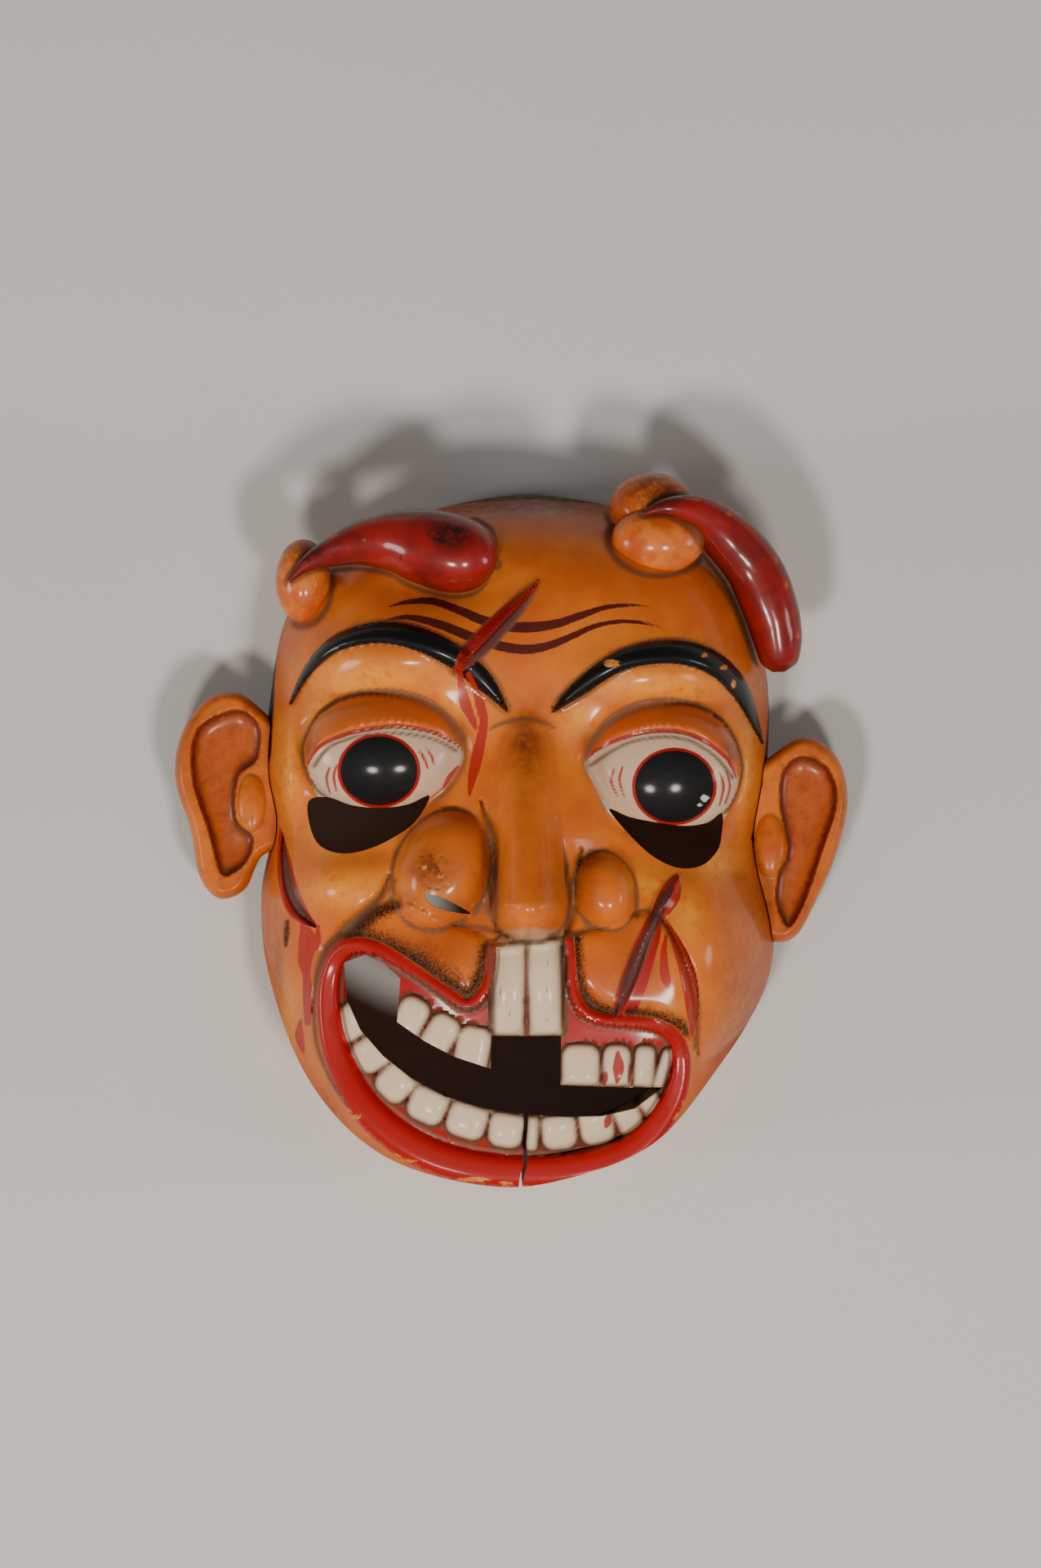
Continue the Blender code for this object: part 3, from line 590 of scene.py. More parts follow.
# %% [markdown]
# ## Pierce the mask
# All the cutters sit in one collection, so a single Boolean makes every cut. Its new faces keep the
# cutters' material number, so bare wood shows inside. Cutting one by one gives the same mask, but takes
# longer.

# %% Cut the hollow and the openings
def cut_away(obj, other=None, collection=None):
    """Takes the other object, or all of a collection, out of obj and keeps the result as a plain mesh."""
    modifier = obj.modifiers.new("Cut", "BOOLEAN")
    modifier.operation, modifier.solver = "DIFFERENCE", "EXACT"
    if collection:
        modifier.operand_type, modifier.collection = "COLLECTION", collection
    else:
        modifier.object = other
    depsgraph = bpy.context.evaluated_depsgraph_get()
    mesh = bpy.data.meshes.new_from_object(obj.evaluated_get(depsgraph))
    obj.modifiers.clear()
    obj.data = mesh


before = len(head.data.polygons)
cut_away(head, collection=cuts)
print("the head went from", before, "to", len(head.data.polygons), "faces")

# %% [markdown]
# ## A recipe for leeches
# Two fat leeches lie on the forehead, each with its head in a round swelling. A leech is a tube whose
# girth runs along its route, and that is a rule, so Geometry Nodes make it: route to curve, even rings, a
# round profile, and a slight unevenness. It could be modelled by hand from a stretched cylinder, but then
# moving one route point would mean starting over.

# %% Build the leech tree
def leech_tree():
    """A node tree that turns a route with a girth into a smooth tapering body."""
    tree = bpy.data.node_groups.new("leech_body", "GeometryNodeTree")
    for name, kind in (("Geometry", "Geometry"), ("Ring Spacing", "Float"), ("Sides", "Int"),
                       ("Point Size", "Float"), ("Unevenness", "Float"), ("Seed", "Float"),
                       ("Material", "Material")):
        tree.interface.new_socket(name, in_out="INPUT", socket_type="NodeSocket" + kind)
    tree.interface.new_socket("Geometry", in_out="OUTPUT", socket_type="NodeSocketGeometry")

    def node(kind, **settings):
        made = tree.nodes.new("GeometryNode" + kind if not kind.startswith(("Shader", "Node")) else kind)
        for key, value in settings.items():
            setattr(made, key, value)
        return made

    link = tree.links.new
    given, result = node("NodeGroupInput"), node("NodeGroupOutput")
    to_curve, girth = node("MeshToCurve"), node("SetCurveRadius")
    resample = node("ResampleCurve", mode="LENGTH")
    named = node("InputNamedAttribute", data_type="FLOAT")
    named.inputs["Name"].default_value = "girth"
    profile, body = node("CurvePrimitiveCircle"), node("CurveToMesh")
    body.inputs["Fill Caps"].default_value = True
    link(given.outputs["Geometry"], to_curve.inputs["Mesh"])
    link(to_curve.outputs["Curve"], girth.inputs["Curve"])
    link(named.outputs["Attribute"], girth.inputs["Radius"])
    link(girth.outputs["Curve"], resample.inputs["Curve"])
    link(given.outputs["Ring Spacing"], resample.inputs["Length"])
    link(given.outputs["Sides"], profile.inputs["Resolution"])
    link(given.outputs["Point Size"], profile.inputs["Radius"])
    link(resample.outputs["Curve"], body.inputs["Curve"])
    link(profile.outputs["Curve"], body.inputs["Profile Curve"])
    if "Scale" in body.inputs:
        radius = node("InputRadius")
        link(radius.outputs["Radius"], body.inputs["Scale"])
    noise = node("ShaderNodeTexNoise", noise_dimensions="4D")
    noise.inputs["Scale"].default_value = 70.0
    link(given.outputs["Seed"], noise.inputs["W"])
    press = node("ShaderNodeMath", operation="MULTIPLY")
    link(noise.outputs["Fac"], press.inputs[0])
    link(given.outputs["Unevenness"], press.inputs[1])
    inwards = node("ShaderNodeVectorMath", operation="SCALE")
    link(node("InputNormal").outputs["Normal"], inwards.inputs[0])
    link(press.outputs[0], inwards.inputs["Scale"])
    shift = node("SetPosition")
    link(body.outputs["Mesh"], shift.inputs["Geometry"])
    link(inwards.outputs["Vector"], shift.inputs["Offset"])
    rounded, real, coloured = node("SetShadeSmooth"), node("RealizeInstances"), node("SetMaterial")
    link(shift.outputs["Geometry"], rounded.inputs["Geometry"])
    link(rounded.outputs["Geometry"], real.inputs["Geometry"])
    link(real.outputs["Geometry"], coloured.inputs["Geometry"])
    link(given.outputs["Material"], coloured.inputs["Material"])
    link(coloured.outputs["Geometry"], result.inputs["Geometry"])
    return tree


tree = leech_tree()
print("the leech tree has", len(tree.nodes), "nodes")

# %% [markdown]
# ## Grow the leeches
# A route is a row of sheet points, each with the leech's girth and height there. The tree's inputs are
# set by their identifiers, because two inputs may share a name. The result is then kept as a plain mesh,
# which can be cut and painted like any other.

# %% Grow the leeches
LEECHES = {
    "left": [
        (353, 713, 3, 70), (376, 691, 11, 71), (405, 677, 19, 72), (442, 666, 29, 75), (483, 663, 39, 78),
        (520, 670, 48, 82), (558, 680, 49, 85), (584, 686, 42, 87), (600, 690, 28, 88), (608, 692, 10, 88),
    ],
    "right": [
        (788, 630, 4, 82), (818, 621, 13, 80), (856, 630, 24, 71), (888, 655, 33, 62), (921, 693, 36, 56),
        (941, 736, 36, 54), (951, 772, 33, 52), (954, 796, 29, 51), (954, 813, 23, 50), (954, 824, 8, 50),
    ],
}


def grow_leech(name, route, tree, material, seed):
    """One leech as a plain mesh, made by the node tree from its route."""
    rows = smooth(route, False, 5)
    mesh = bpy.data.meshes.new(name + "_route")
    points = np.array(place(rows[:, 0], rows[:, 1], rows[:, 3])).T
    mesh.from_pydata(points.tolist(), [(i, i + 1) for i in range(len(points) - 1)], [])
    mesh.attributes.new("girth", "FLOAT", "POINT").data.foreach_set("value", rows[:, 2].astype(np.float32))
    obj = bpy.data.objects.new(name, mesh)
    workshop.objects.link(obj)
    modifier = obj.modifiers.new("Leech", "NODES")
    modifier.node_group = tree
    wanted = {"Ring Spacing": 0.0012, "Sides": 40, "Point Size": POINT, "Unevenness": -0.0007,
              "Seed": float(seed), "Material": material}
    for item in tree.interface.items_tree:
        if item.in_out == "INPUT" and item.name in wanted:
            modifier[item.identifier] = wanted[item.name]
    depsgraph = bpy.context.evaluated_depsgraph_get()
    made = bpy.data.meshes.new_from_object(obj.evaluated_get(depsgraph))
    obj.modifiers.clear()
    obj.data = made
    return obj


leech_paint = bpy.data.materials.new("leech_red_lacquer")
leeches = {side: grow_leech(f"leech_{side}", route, tree, leech_paint, seed)
           for seed, (side, route) in enumerate(LEECHES.items())}
print({side: len(obj.data.polygons) for side, obj in leeches.items()}, "faces in the leeches")

# %% [markdown]
# ## Swellings
# The swellings are plain squashed balls on the sheet; two of them run together on the right. A Boolean
# union joins those two into one skin, so that no wall is left inside.

# %% Make the swellings
SWELLINGS = {
    "swelling_left": [(371, 711, 34, 51, 40, 57)],
    "swelling_right": [(799, 622, 53, 43, 46, 60), (806, 661, 57, 42, 40, 71)],
}


def ball(name, x, y, reach_x, reach_y, reach_z, z):
    """A squashed ball at a spot of the sheet, its reaches in points."""
    bm = bmesh.new()
    bmesh.ops.create_uvsphere(bm, u_segments=48, v_segments=30, radius=POINT)
    middle = Vector(place(x, y, z))
    for vert in bm.verts:
        vert.co = middle + vert.co * Vector((reach_x, reach_y, reach_z))
    return new_object(name, bm)


swellings = {}
for name, lumps in SWELLINGS.items():
    first, *others = [ball(f"{name}_{i}", *lump) for i, lump in enumerate(lumps)]
    for other in others:
        join = first.modifiers.new("Join", "BOOLEAN")
        join.operation, join.solver, join.object = "UNION", "EXACT", other
        first.data = bpy.data.meshes.new_from_object(
            first.evaluated_get(bpy.context.evaluated_depsgraph_get()))
        first.modifiers.clear()
    first.name = name
    swellings[name] = first
print("swellings:", {name: len(obj.data.polygons) for name, obj in swellings.items()})

# %% [markdown]
# ## Fit the growths
# All the growths are one wood with the head, so nothing of them may show inside the hollow. We cut them
# with a block that ends in the middle of the wall: they then sink into the head and stop out of sight.

# %% Fit the growths
WALL_CELLS, WALL_INSET, WALL_FLOOR = 130, 4, 3
mid_wall = carved_block("mid_wall", HEAD_OUTLINE, HEAD_CENTRE,
                        lambda x, y: np.maximum(dome(x, y, WALL_INSET) - FACE_WALL / RELIEF / 2, WALL_FLOOR),
                        -FACE_WALL, WALL_CELLS, WALL_INSET)
growths = [*leeches.values(), *swellings.values()]
for growth in growths:
    cut_away(growth, mid_wall)
print("fitted", len(growths), "growths with", sum(len(g.data.polygons) for g in growths), "faces")

# %% [markdown]
# ## Ears
# Each ear is a slab with a rounded edge and a dished shell, carved by itself and set against the side of
# the head. We make it with the same grid as the head, then cut it with the head's own block grown by the
# width of the seam, so that it fits the cheek it leans on. A shrinkwrap could fit it too, but would bend
# the ear.

# %% Carve and fit the ears
EAR_BACK, EAR_THICKNESS, EAR_SEAM = 0.018, 0.013, 0.0005
EAR_CELLS, EAR_CROWDING = 110, 1.2
EAR_EDGE_SHARE, EAR_HOLLOW_SHARE, EAR_HOLLOW_EDGE, EAR_ROUNDING, EAR_LOBE_SHARE = 0.45, 0.32, 24, 11, 0.2
EARS = {
    "ear_left": {
        "centre": (284, 975),
        "outline": [(345, 900), (318, 868), (286, 847), (250, 857), (220, 900), (213, 955), (232, 1016),
                    (243, 1074), (267, 1101), (298, 1090), (318, 1050), (348, 1030), (356, 965)],
        "hollow": [(287, 868), (316, 886), (316, 928), (292, 952), (289, 1002), (310, 1026), (300, 1058),
                   (270, 1072), (254, 1020), (233, 950), (240, 892)],
        "lobe": (307, 984, 17, 36),
    },
    "ear_right": {
        "centre": (972, 1030),
        "outline": [(905, 965), (943, 928), (988, 902), (1026, 926), (1040, 980), (1026, 1045), (999, 1108),
                    (975, 1148), (945, 1152), (918, 1120), (895, 1050)],
        "hollow": [(984, 925), (1016, 940), (1027, 982), (1008, 1045), (985, 1110), (966, 1136), (951, 1108),
                   (953, 1072), (965, 1040), (955, 985), (960, 942)],
        "lobe": (944, 1036, 19, 38),
    },
}


def ear_height(ear):
    """Height of an ear's front over the sheet: rounded edge, dished shell and the lobe at the ear hole."""
    outline, shell = smooth(ear["outline"], True), smooth(ear["hollow"], True)
    back, thick = EAR_BACK / RELIEF, EAR_THICKNESS / RELIEF

    def height(x, y):
        edge = rounded_step(depth_inside(x, y, outline), EAR_ROUNDING)
        z = back + thick * (EAR_EDGE_SHARE + (1 - EAR_EDGE_SHARE) * edge)
        z = z - EAR_HOLLOW_SHARE * thick * rounded_step(depth_inside(x, y, shell), EAR_HOLLOW_EDGE)
        cx, cy, reach_x, reach_y = ear["lobe"]
        lobe = np.clip(1 - ((x - cx) / reach_x) ** 2 - ((y - cy) / reach_y) ** 2, 0, 1)
        return z + EAR_LOBE_SHARE * thick * np.sqrt(lobe)

    return height


seam = carved_block("seam", HEAD_OUTLINE, HEAD_CENTRE, face_height, 0.0, WALL_CELLS)
grow = seam.modifiers.new("Grow by the seam", "DISPLACE")
grow.strength, grow.mid_level = EAR_SEAM, 0.0
ears = {}
for name, ear in EARS.items():
    obj = carved_block("carved_" + name, ear["outline"], ear["centre"], ear_height(ear), EAR_BACK, EAR_CELLS,
                       crowding=EAR_CROWDING)
    cut_away(obj, seam)
    ears[name] = obj
print({name: len(obj.data.polygons) for name, obj in ears.items()}, "faces in the ears")

# %% [markdown]
# ## The painter's drawing
# The painter's drawing is laid over the carving on the same sheet: whites and pupils, the red line of the
# lid, veins, wrinkles and the black hair. Each is a list of outlines, ovals or strokes. A stroke's third
# number is its half width, so a brush line tapers as it does in real paint.

# %% Draw the eyes, lines and hair
WHITES = [
    [(379, 936), (396, 912), (420, 900), (470, 890), (505, 890), (538, 899), (564, 914), (568, 928),
     (562, 942),
     (546, 960), (527, 976), (500, 992), (462, 996), (425, 993), (398, 984), (383, 962)],
    [(715, 932), (745, 911), (780, 899), (812, 895), (842, 899), (872, 914), (893, 936), (903, 952),
     (900, 970),
     (893, 988), (886, 1003), (860, 1017), (828, 1020), (796, 1014), (764, 1006), (744, 994), (728, 962)],
]
PUPILS = [(465, 944, 47, 42), (825, 963, 48, 44)]
LID_LINES = [
    [(378, 936, 1), (392, 915, 2), (420, 901, 2.4), (455, 893, 2.6), (490, 890, 2.6), (530, 897, 2.4),
     (560, 913, 1.6),
     (568, 924, 1)],
    [(714, 932, 1), (740, 913, 2), (775, 900, 2.4), (810, 895, 2.6), (842, 899, 2.6), (872, 914, 2.4),
     (892, 934, 2), (901, 952, 1)],
]
VEINS = [
    [(405, 940, 1), (401, 953, 1.5), (405, 971, 1)], [(414, 937, 1), (410, 951, 1.5), (413, 969, 1)],
    [(513, 918, 1), (519, 927, 1.6), (525, 942, 1)], [(522, 915, 1), (528, 924, 1.6), (533, 938, 1)],
    [(752, 941, 1), (748, 957, 1.5), (756, 975, 1)], [(762, 939, 1), (758, 955, 1.5), (764, 976, 1)],
    [(880, 946, 1), (885, 963, 1.6), (880, 986, 1)], [(888, 944, 1), (893, 963, 1.4), (887, 984, 1)],
]
WRINKLES = [
    [(475, 744, 0.3), (500, 738, 3), (530, 737, 4.5), (560, 747, 5), (590, 760, 6), (620, 768, 6),
     (650, 769, 6.5),
     (680, 765, 5.5), (710, 755, 4.5), (740, 745, 3), (770, 742, 2), (795, 744, 0.3)],
    [(462, 763, 0.3), (490, 757, 2.5), (510, 758, 4), (540, 766, 5.5), (570, 778, 6), (600, 789, 6),
     (640, 796, 6),
     (670, 792, 5), (700, 780, 4), (730, 767, 3), (760, 762, 2.5), (790, 764, 2), (822, 773, 0.3)],
]
HAIR = [
    [(290, 730), (348, 742), (341, 775), (336, 820), (334, 870), (331, 925), (325, 942), (331, 980),
     (335, 1012),
     (296, 1016)],
    [(995, 790), (944, 822), (943, 860), (940, 905), (934, 960), (926, 1010), (921, 1030), (945, 1040),
     (995, 1030)],
]
print(len(VEINS), "veins and", len(WRINKLES), "wrinkles")

# %% [markdown]
# ## Wounds and blood
# Three gashes are painted in red, two over carved welts and one over a cut, each with a dark core and a
# fine line. Blood runs down from them and lies on the teeth. The runs are drawn one by one, where the
# painter set them; scattering them by chance would look like rain.

# %% Draw the wounds
GASHES = [
    [(660, 713), (640, 726), (618, 742), (598, 760), (578, 782), (563, 799), (558, 815), (554, 824),
     (566, 823),
     (586, 809), (602, 792), (620, 772), (634, 757), (649, 738), (656, 725)],
    [(828, 1071), (817, 1077), (806, 1093), (797, 1114), (784, 1138), (768, 1175), (755, 1211), (750, 1253),
     (755, 1254), (776, 1240), (791, 1207), (799, 1179), (807, 1150), (811, 1128), (821, 1116),
     (831, 1101), (833, 1084)],
    [(342, 1014), (339, 1050), (343, 1092), (354, 1120), (372, 1131), (392, 1136), (381, 1120), (366, 1088),
     (356, 1052), (348, 1026)],
]
GASH_CORES = [
    [(655, 724, 0.5), (639, 746, 4), (618, 769, 6), (594, 795, 6), (566, 820, 1)],
    [(826, 1080, 0.5), (812, 1098, 5), (800, 1124, 5), (790, 1148, 6), (777, 1178, 8), (765, 1210, 6),
     (752, 1248, 0.5)],
    [(348, 1030, 0.5), (350, 1058, 4), (358, 1092, 6), (371, 1118, 5), (386, 1131, 0.5)],
]
GASH_LINES = [
    [(653, 724, 0.3), (634, 746, 1.6), (612, 769, 2.2), (588, 795, 2), (564, 819, 0.3)],
    [(829, 1078, 0.3), (818, 1099, 1.8), (808, 1122, 1.8), (797, 1148, 2), (786, 1174, 2.4), (774, 1206, 2),
     (753, 1250, 0.3)],
    [(344, 1030, 0.3), (345, 1058, 1.4), (350, 1092, 1.8), (364, 1118, 1.6), (384, 1132, 0.3)],
    [(815, 1128, 0.3), (832, 1152, 1.2), (850, 1192, 1.6), (854, 1232, 1.4), (851, 1270, 0.3)],
]
BLOOD = [
    [(563, 824, 3), (566, 842, 5), (570, 862, 7), (576, 876, 5), (583, 892, 3)],
    [(574, 826, 3), (583, 846, 4), (589, 866, 6), (593, 884, 5), (590, 902, 6), (584, 930, 7), (578, 955, 5),
     (575, 976, 1)],
    [(562, 938, 2), (550, 953, 3), (541, 970, 1)],
    [(815, 1140, 1), (812, 1165, 4), (813, 1190, 6), (816, 1202, 5), (817, 1210, 1)],
    [(814, 1124, 1), (826, 1150, 6), (838, 1180, 9), (844, 1208, 9), (847, 1240, 7), (847, 1268, 2)],
    [(788, 1158, 2), (776, 1192, 4), (764, 1228, 4), (754, 1250, 1)],
    [(373, 1132, 5), (377, 1152, 11), (374, 1175, 9), (376, 1196, 5), (378, 1222, 7), (377, 1252, 4)],
    [(390, 1134, 2), (390, 1152, 4), (387, 1164, 1)], [(368, 1250, 2), (366, 1270, 6), (371, 1290, 2)],
    [(756, 1286, 2), (757, 1306, 7), (755, 1324, 2)], [(742, 1308, 1), (740, 1320, 4), (739, 1329, 1)],
    [(770, 1298, 1), (771, 1312, 3), (769, 1326, 1)], [(745, 1362, 2), (744, 1372, 5), (741, 1380, 1)],
]
print(len(GASHES), "gashes and", len(BLOOD), "runs of blood")

# %% [markdown]
# ## The marks of age
# Chips, scratches, old wax and painted shade in the creases, stubble round the mouth, and lighter or
# darker patches: the lighter partly yellow paint and partly painted highlight, the darker partly dark paint
# and wear and partly painted shade. A patch is an oval with a soft edge, and a fifth number where it is
# weaker. The finest wear is left to noise in the material; only marks that the eye remembers are placed
# one by one.

# %% Draw the marks of age
CHIPS = [
    (748, 813, 10, 5), (862, 803, 4, 3), (886, 818, 5, 3), (898, 838, 3, 5), (862, 977, 5, 4),
    (856, 985, 3, 2),
    (503, 664, 3, 2), (498, 637, 3, 2), (513, 632, 4, 2), (447, 662, 3, 2), (408, 656, 5, 3),
    (850, 612, 8, 2.4),
    (893, 629, 4, 3), (951, 685, 2.5, 5), (963, 717, 3, 4), (977, 778, 2.5, 4), (670, 1247, 3, 2),
    (582, 1442, 20, 3),
    (437, 1366, 8, 2.5), (520, 1062, 4, 3), (541, 1072, 5, 3), (549, 1081, 3, 2), (500, 1420, 12, 2),
    (620, 1447, 8, 2),
]
SCRATCHES = [
    [(495, 672, 0.5), (492, 680, 1.2), (490, 690, 0.5)], [(620, 1226, 0.4), (624, 1240, 1), (618, 1252, 0.4)],
    [(508, 1050, 0.4), (530, 1046, 1), (552, 1052, 0.4)], [(512, 1076, 0.4), (530, 1088, 1),
     (548, 1086, 0.4)],
    [(522, 1040, 0.4), (538, 1064, 1.2), (544, 1086, 0.4)], [(672, 1170, 0.4), (668, 1196, 0.8),
     (672, 1222, 0.4)],
    [(612, 1170, 0.4), (614, 1200, 0.8), (611, 1226, 0.4)],
]
# Brown lines along the creases: partly old wax, partly painted shade in the grooves beside the nose, wings,
# lids and mouth.
GLAZE_AND_SHADE_LINES = [
    [(484, 1078, 5), (465, 1100, 8), (438, 1126, 8), (410, 1150, 7), (394, 1176, 6), (387, 1205, 5),
     (385, 1240, 5),
     (390, 1282, 5), (406, 1322, 4), (426, 1352, 3)],
    [(806, 1118, 4), (830, 1162, 7), (846, 1204, 8), (852, 1240, 7), (850, 1282, 4)],
    [(482, 1096, 5), (481, 1062, 4), (491, 1034, 3), (504, 1016, 0.6)],
    [(590, 984, 0.6), (602, 1020, 5), (607, 1070, 6), (606, 1126, 6)],
    [(548, 1130, 0.6), (576, 1133, 4), (602, 1138, 6), (616, 1141, 3)],
    [(690, 1146, 3), (706, 1141, 6), (724, 1138, 3), (738, 1137, 0.6)],
    [(694, 1138, 5), (699, 1112, 6), (704, 1080, 5), (708, 1050, 0.6)], [(774, 1080, 0.6), (779, 1104, 4),
     (779, 1120, 5)],
    [(483, 1188, 4), (515, 1201, 5), (561, 1233, 6), (593, 1230, 6)], [(602, 1156, 5), (603, 1200, 6),
     (603, 1262, 6)],
    [(690, 1156, 5), (691, 1200, 6), (691, 1262, 6)],
    [(600, 893, 3), (618, 885, 4), (642, 881, 4), (664, 884, 4), (679, 892, 3)],
    [(386, 938, 4), (405, 915, 3), (440, 902, 3), (485, 898, 3), (530, 905, 3), (560, 920, 4)],
    [(722, 938, 4), (764, 912, 3), (806, 903, 3), (842, 907, 3), (874, 926, 3), (896, 952, 4)],
]
STRIP_UNDER_NOSE = [(612, 1142), (640, 1136), (680, 1137), (708, 1144), (702, 1156), (650, 1161), (614, 1157)]
STUBBLE_LINES = [
    [(432, 1144, 20), (470, 1156, 20), (510, 1178, 22), (548, 1204, 24), (574, 1218, 22), (588, 1196, 14),
     (594, 1160, 10)],
    [(488, 1108, 8), (460, 1118, 14), (438, 1136, 16)],
    [(706, 1148, 9), (708, 1192, 11), (718, 1224, 14), (748, 1238, 12), (792, 1241, 12), (826, 1252, 14),
     (840, 1262, 12)],
    [(352, 1128, 4), (351, 1142, 6), (350, 1158, 3)],
]
# Lighter patches: yellow paint round the eyes, and painted highlights on the temples, cheeks and jaw.
YELLOW_AND_HIGHLIGHT_PATCHES = [
    (450, 832, 95, 26), (392, 878, 22, 40), (352, 950, 22, 70), (560, 858, 26, 34), (800, 838, 90, 20),
    (712, 880, 26, 26), (915, 930, 18, 60), (420, 1088, 55, 22),
    (405, 1020, 30, 30), (880, 1060, 40, 22), (800, 1080, 34, 22), (350, 1250, 20, 60), (840, 1120, 20, 30),
]
# Darker patches: dark paint and wear on the nose ridge and left nose wing, and painted shade in the grooves
# beside the wings, at the lid ends, under the nose, along the crown's edge, on the sides that turn away and
# on the growths' upper sides.
DARK_PAINT_AND_SHADE_PATCHES = [
    (644, 912, 24, 46, 0.9), (640, 960, 14, 60, 0.4), (600, 1050, 9, 50, 0.7), (340, 1190, 7, 60, 0.6),
    (590, 1075, 16, 40, 0.45), (720, 1085, 14, 34, 0.45), (528, 1064, 30, 27, 0.95), (500, 1100, 22, 16, 0.5),
    (556, 1108, 30, 9, 0.4), (650, 620, 112, 13, 1.0), (460, 1052, 60, 12, 0.4), (826, 1070, 50, 12, 0.35),
    (928, 1110, 26, 55, 0.4), (905, 1075, 20, 12, 0.5), (551, 656, 26, 15, 1.0), (802, 600, 46, 24, 0.8),
    (373, 676, 30, 22, 0.7), (650, 1151, 44, 7, 0.5), (400, 1350, 30, 30, 0.4), (436, 1136, 18, 12, 0.5),
    (384, 922, 13, 20, 0.7), (564, 900, 12, 18, 0.7), (720, 912, 14, 20, 0.7), (893, 922, 14, 20, 0.7),
    (718, 1052, 16, 18, 0.8), (594, 1060, 8, 60, 0.8), (520, 1164, 55, 24, 0.55), (780, 1185, 40, 40, 0.4),
    (908, 1230, 36, 90, 0.5), (930, 860, 22, 60, 0.35), (600, 1020, 10, 40, 0.4), (670, 1090, 14, 30, 0.3),
]
print(len(CHIPS), "chips and", len(GLAZE_AND_SHADE_LINES), "lines of old wax")

# %% [markdown]
# ## How far inside the paint
# For every point of the finished mesh we want to know how far inside each painted shape it lies. The
# material turns those distances into crisp brushed edges. A picture texture would need unwrapping and
# pixels; this stays sharp at any size. Only the points near a shape are measured, and the rest count as
# far outside.

# %% Measure the painted shapes
FAR = 30.0


def nearby(x, y, rows):
    """Which spots are close enough to some points to be worth measuring."""
    low, high = rows[:, :2].min(0) - FAR, rows[:, :2].max(0) + FAR
    return (x > low[0]) & (x < high[0]) & (y > low[1]) & (y < high[1])


def near_only(x, y, rows, work):
    """Works something out for the spots near some points alone; the rest get a value well outside."""
    near = nearby(x, y, rows)
    out = np.full(x.shape, -FAR)
    if near.any():
        out[near] = np.clip(work(x[near], y[near]), -FAR, FAR)
    return out


def stroke_inside(x, y, routes):
    """How far inside the nearest of several brush strokes, in points; negative outside."""
    best = np.full(x.shape, -FAR)
    for route in routes:
        rows = smooth(route, False)
        inside = near_only(x, y, rows, lambda u, v: np.subtract(*nearest(u, v, rows)[::-1]))
        best = np.maximum(best, inside)
    return best


def patch_inside(x, y, outlines):
    """How far inside the nearest of several outlined patches, in points; negative outside."""
    best = np.full(x.shape, -FAR)
    for outline in outlines:
        rows = smooth(outline, True)
        best = np.maximum(best, near_only(x, y, rows, lambda u, v: depth_inside(u, v, rows)))
    return best


def oval_inside(x, y, ovals):
    """How far inside the nearest oval spot."""
    best = np.full(x.shape, -FAR)
    for cx, cy, reach_x, reach_y in ovals:
        share = np.hypot((x - cx) / reach_x, (y - cy) / reach_y)
        best = np.maximum(best, np.clip((1 - share) * min(reach_x, reach_y), -FAR, FAR))
    return best


def soft_lines(x, y, routes):
    """1 on a line, fading to 0 over its width, for wax and shading."""
    best = np.zeros(x.shape)
    for route in routes:
        rows = smooth(route, False)
        near = nearby(x, y, rows)
        distance, width = nearest(x[near], y[near], rows)[:2]
        best[near] = np.maximum(best[near], np.exp(-((distance / np.maximum(width, 0.5)) ** 2)))
    return best


def soft_patches(x, y, patches):
    """1 in the middle of a patch, or its own strength, fading out like a bell."""
    best = np.zeros(x.shape)
    for cx, cy, reach_x, reach_y, *strength in patches:
        bell = np.exp(-(((x - cx) / reach_x) ** 2) - ((y - cy) / reach_y) ** 2)
        best = np.maximum(best, bell * (strength[0] if strength else 1))
    return best


def teeth_inside(x, y):
    """How far inside the nearest tooth, each a box that is well rounded on the side of the gum."""
    best = np.full(x.shape, -FAR)
    for row, (gaps, half_height, _) in TOOTH_ROWS.items():
        for a, b in zip(gaps[:-1], gaps[1:]):
            run = np.subtract(b, a)
            length = math.hypot(*run)
            dx, dy = x - (a[0] + b[0]) / 2, y - (a[1] + b[1]) / 2
            v = (dy * run[0] - dx * run[1]) / length
            gum_side = v > 0 if row == "lower" else v < 0
            corner = np.where(gum_side, min(0.4 * length, 6 if row == "front" else 17), 4)
            u = np.abs(dx * run[0] + dy * run[1]) / length - (length / 2 - corner)
            v = np.abs(v) - (half_height - corner)
            outside = np.hypot(np.maximum(u, 0), np.maximum(v, 0)) + np.minimum(np.maximum(u, v), 0)
            best = np.maximum(best, np.clip(corner - outside, -FAR, FAR))
    return best


print("a shape is measured out to", FAR, "points from its edge")

# %% [markdown]
# ## Back to the sheet
# Each mesh point is led back to the sheet, undoing the tucked chin, so that the drawing can be laid over
# it. Old wax gathers in grooves, the grooves also get painted shade, and paint wears off edges, so we
# also compare each point with its neighbourhood: a point that lies below it is in a groove, and one that
# stands proud of it is an edge.

# %% Lead the mesh back to the sheet
UNTUCK_ROUNDS = 8


def mesh_array(what, key, width, kind=float):
    """One value per element of a mesh, as a numpy array."""
    flat = np.empty(len(what) * width, kind)
    what.foreach_get(key, flat)
    return flat.reshape(-1, width)


def on_the_sheet(co):
    """Sheet position and relief of world points, with the chin's tuck undone."""
    x0, y0 = SHEET_MIDDLE[0] + co[:, 0] / POINT, SHEET_MIDDLE[1] - co[:, 1] / POINT
    x, y, z = x0.copy(), y0.copy(), co[:, 2] / RELIEF
    for _ in range(UNTUCK_ROUNDS):
        draw = tuck(x, y, z)
        x, y = (x0 - draw * HEAD_CENTRE[0]) / (1 - draw), (y0 - draw * HEAD_CENTRE[1]) / (1 - draw)
    return x, y, z


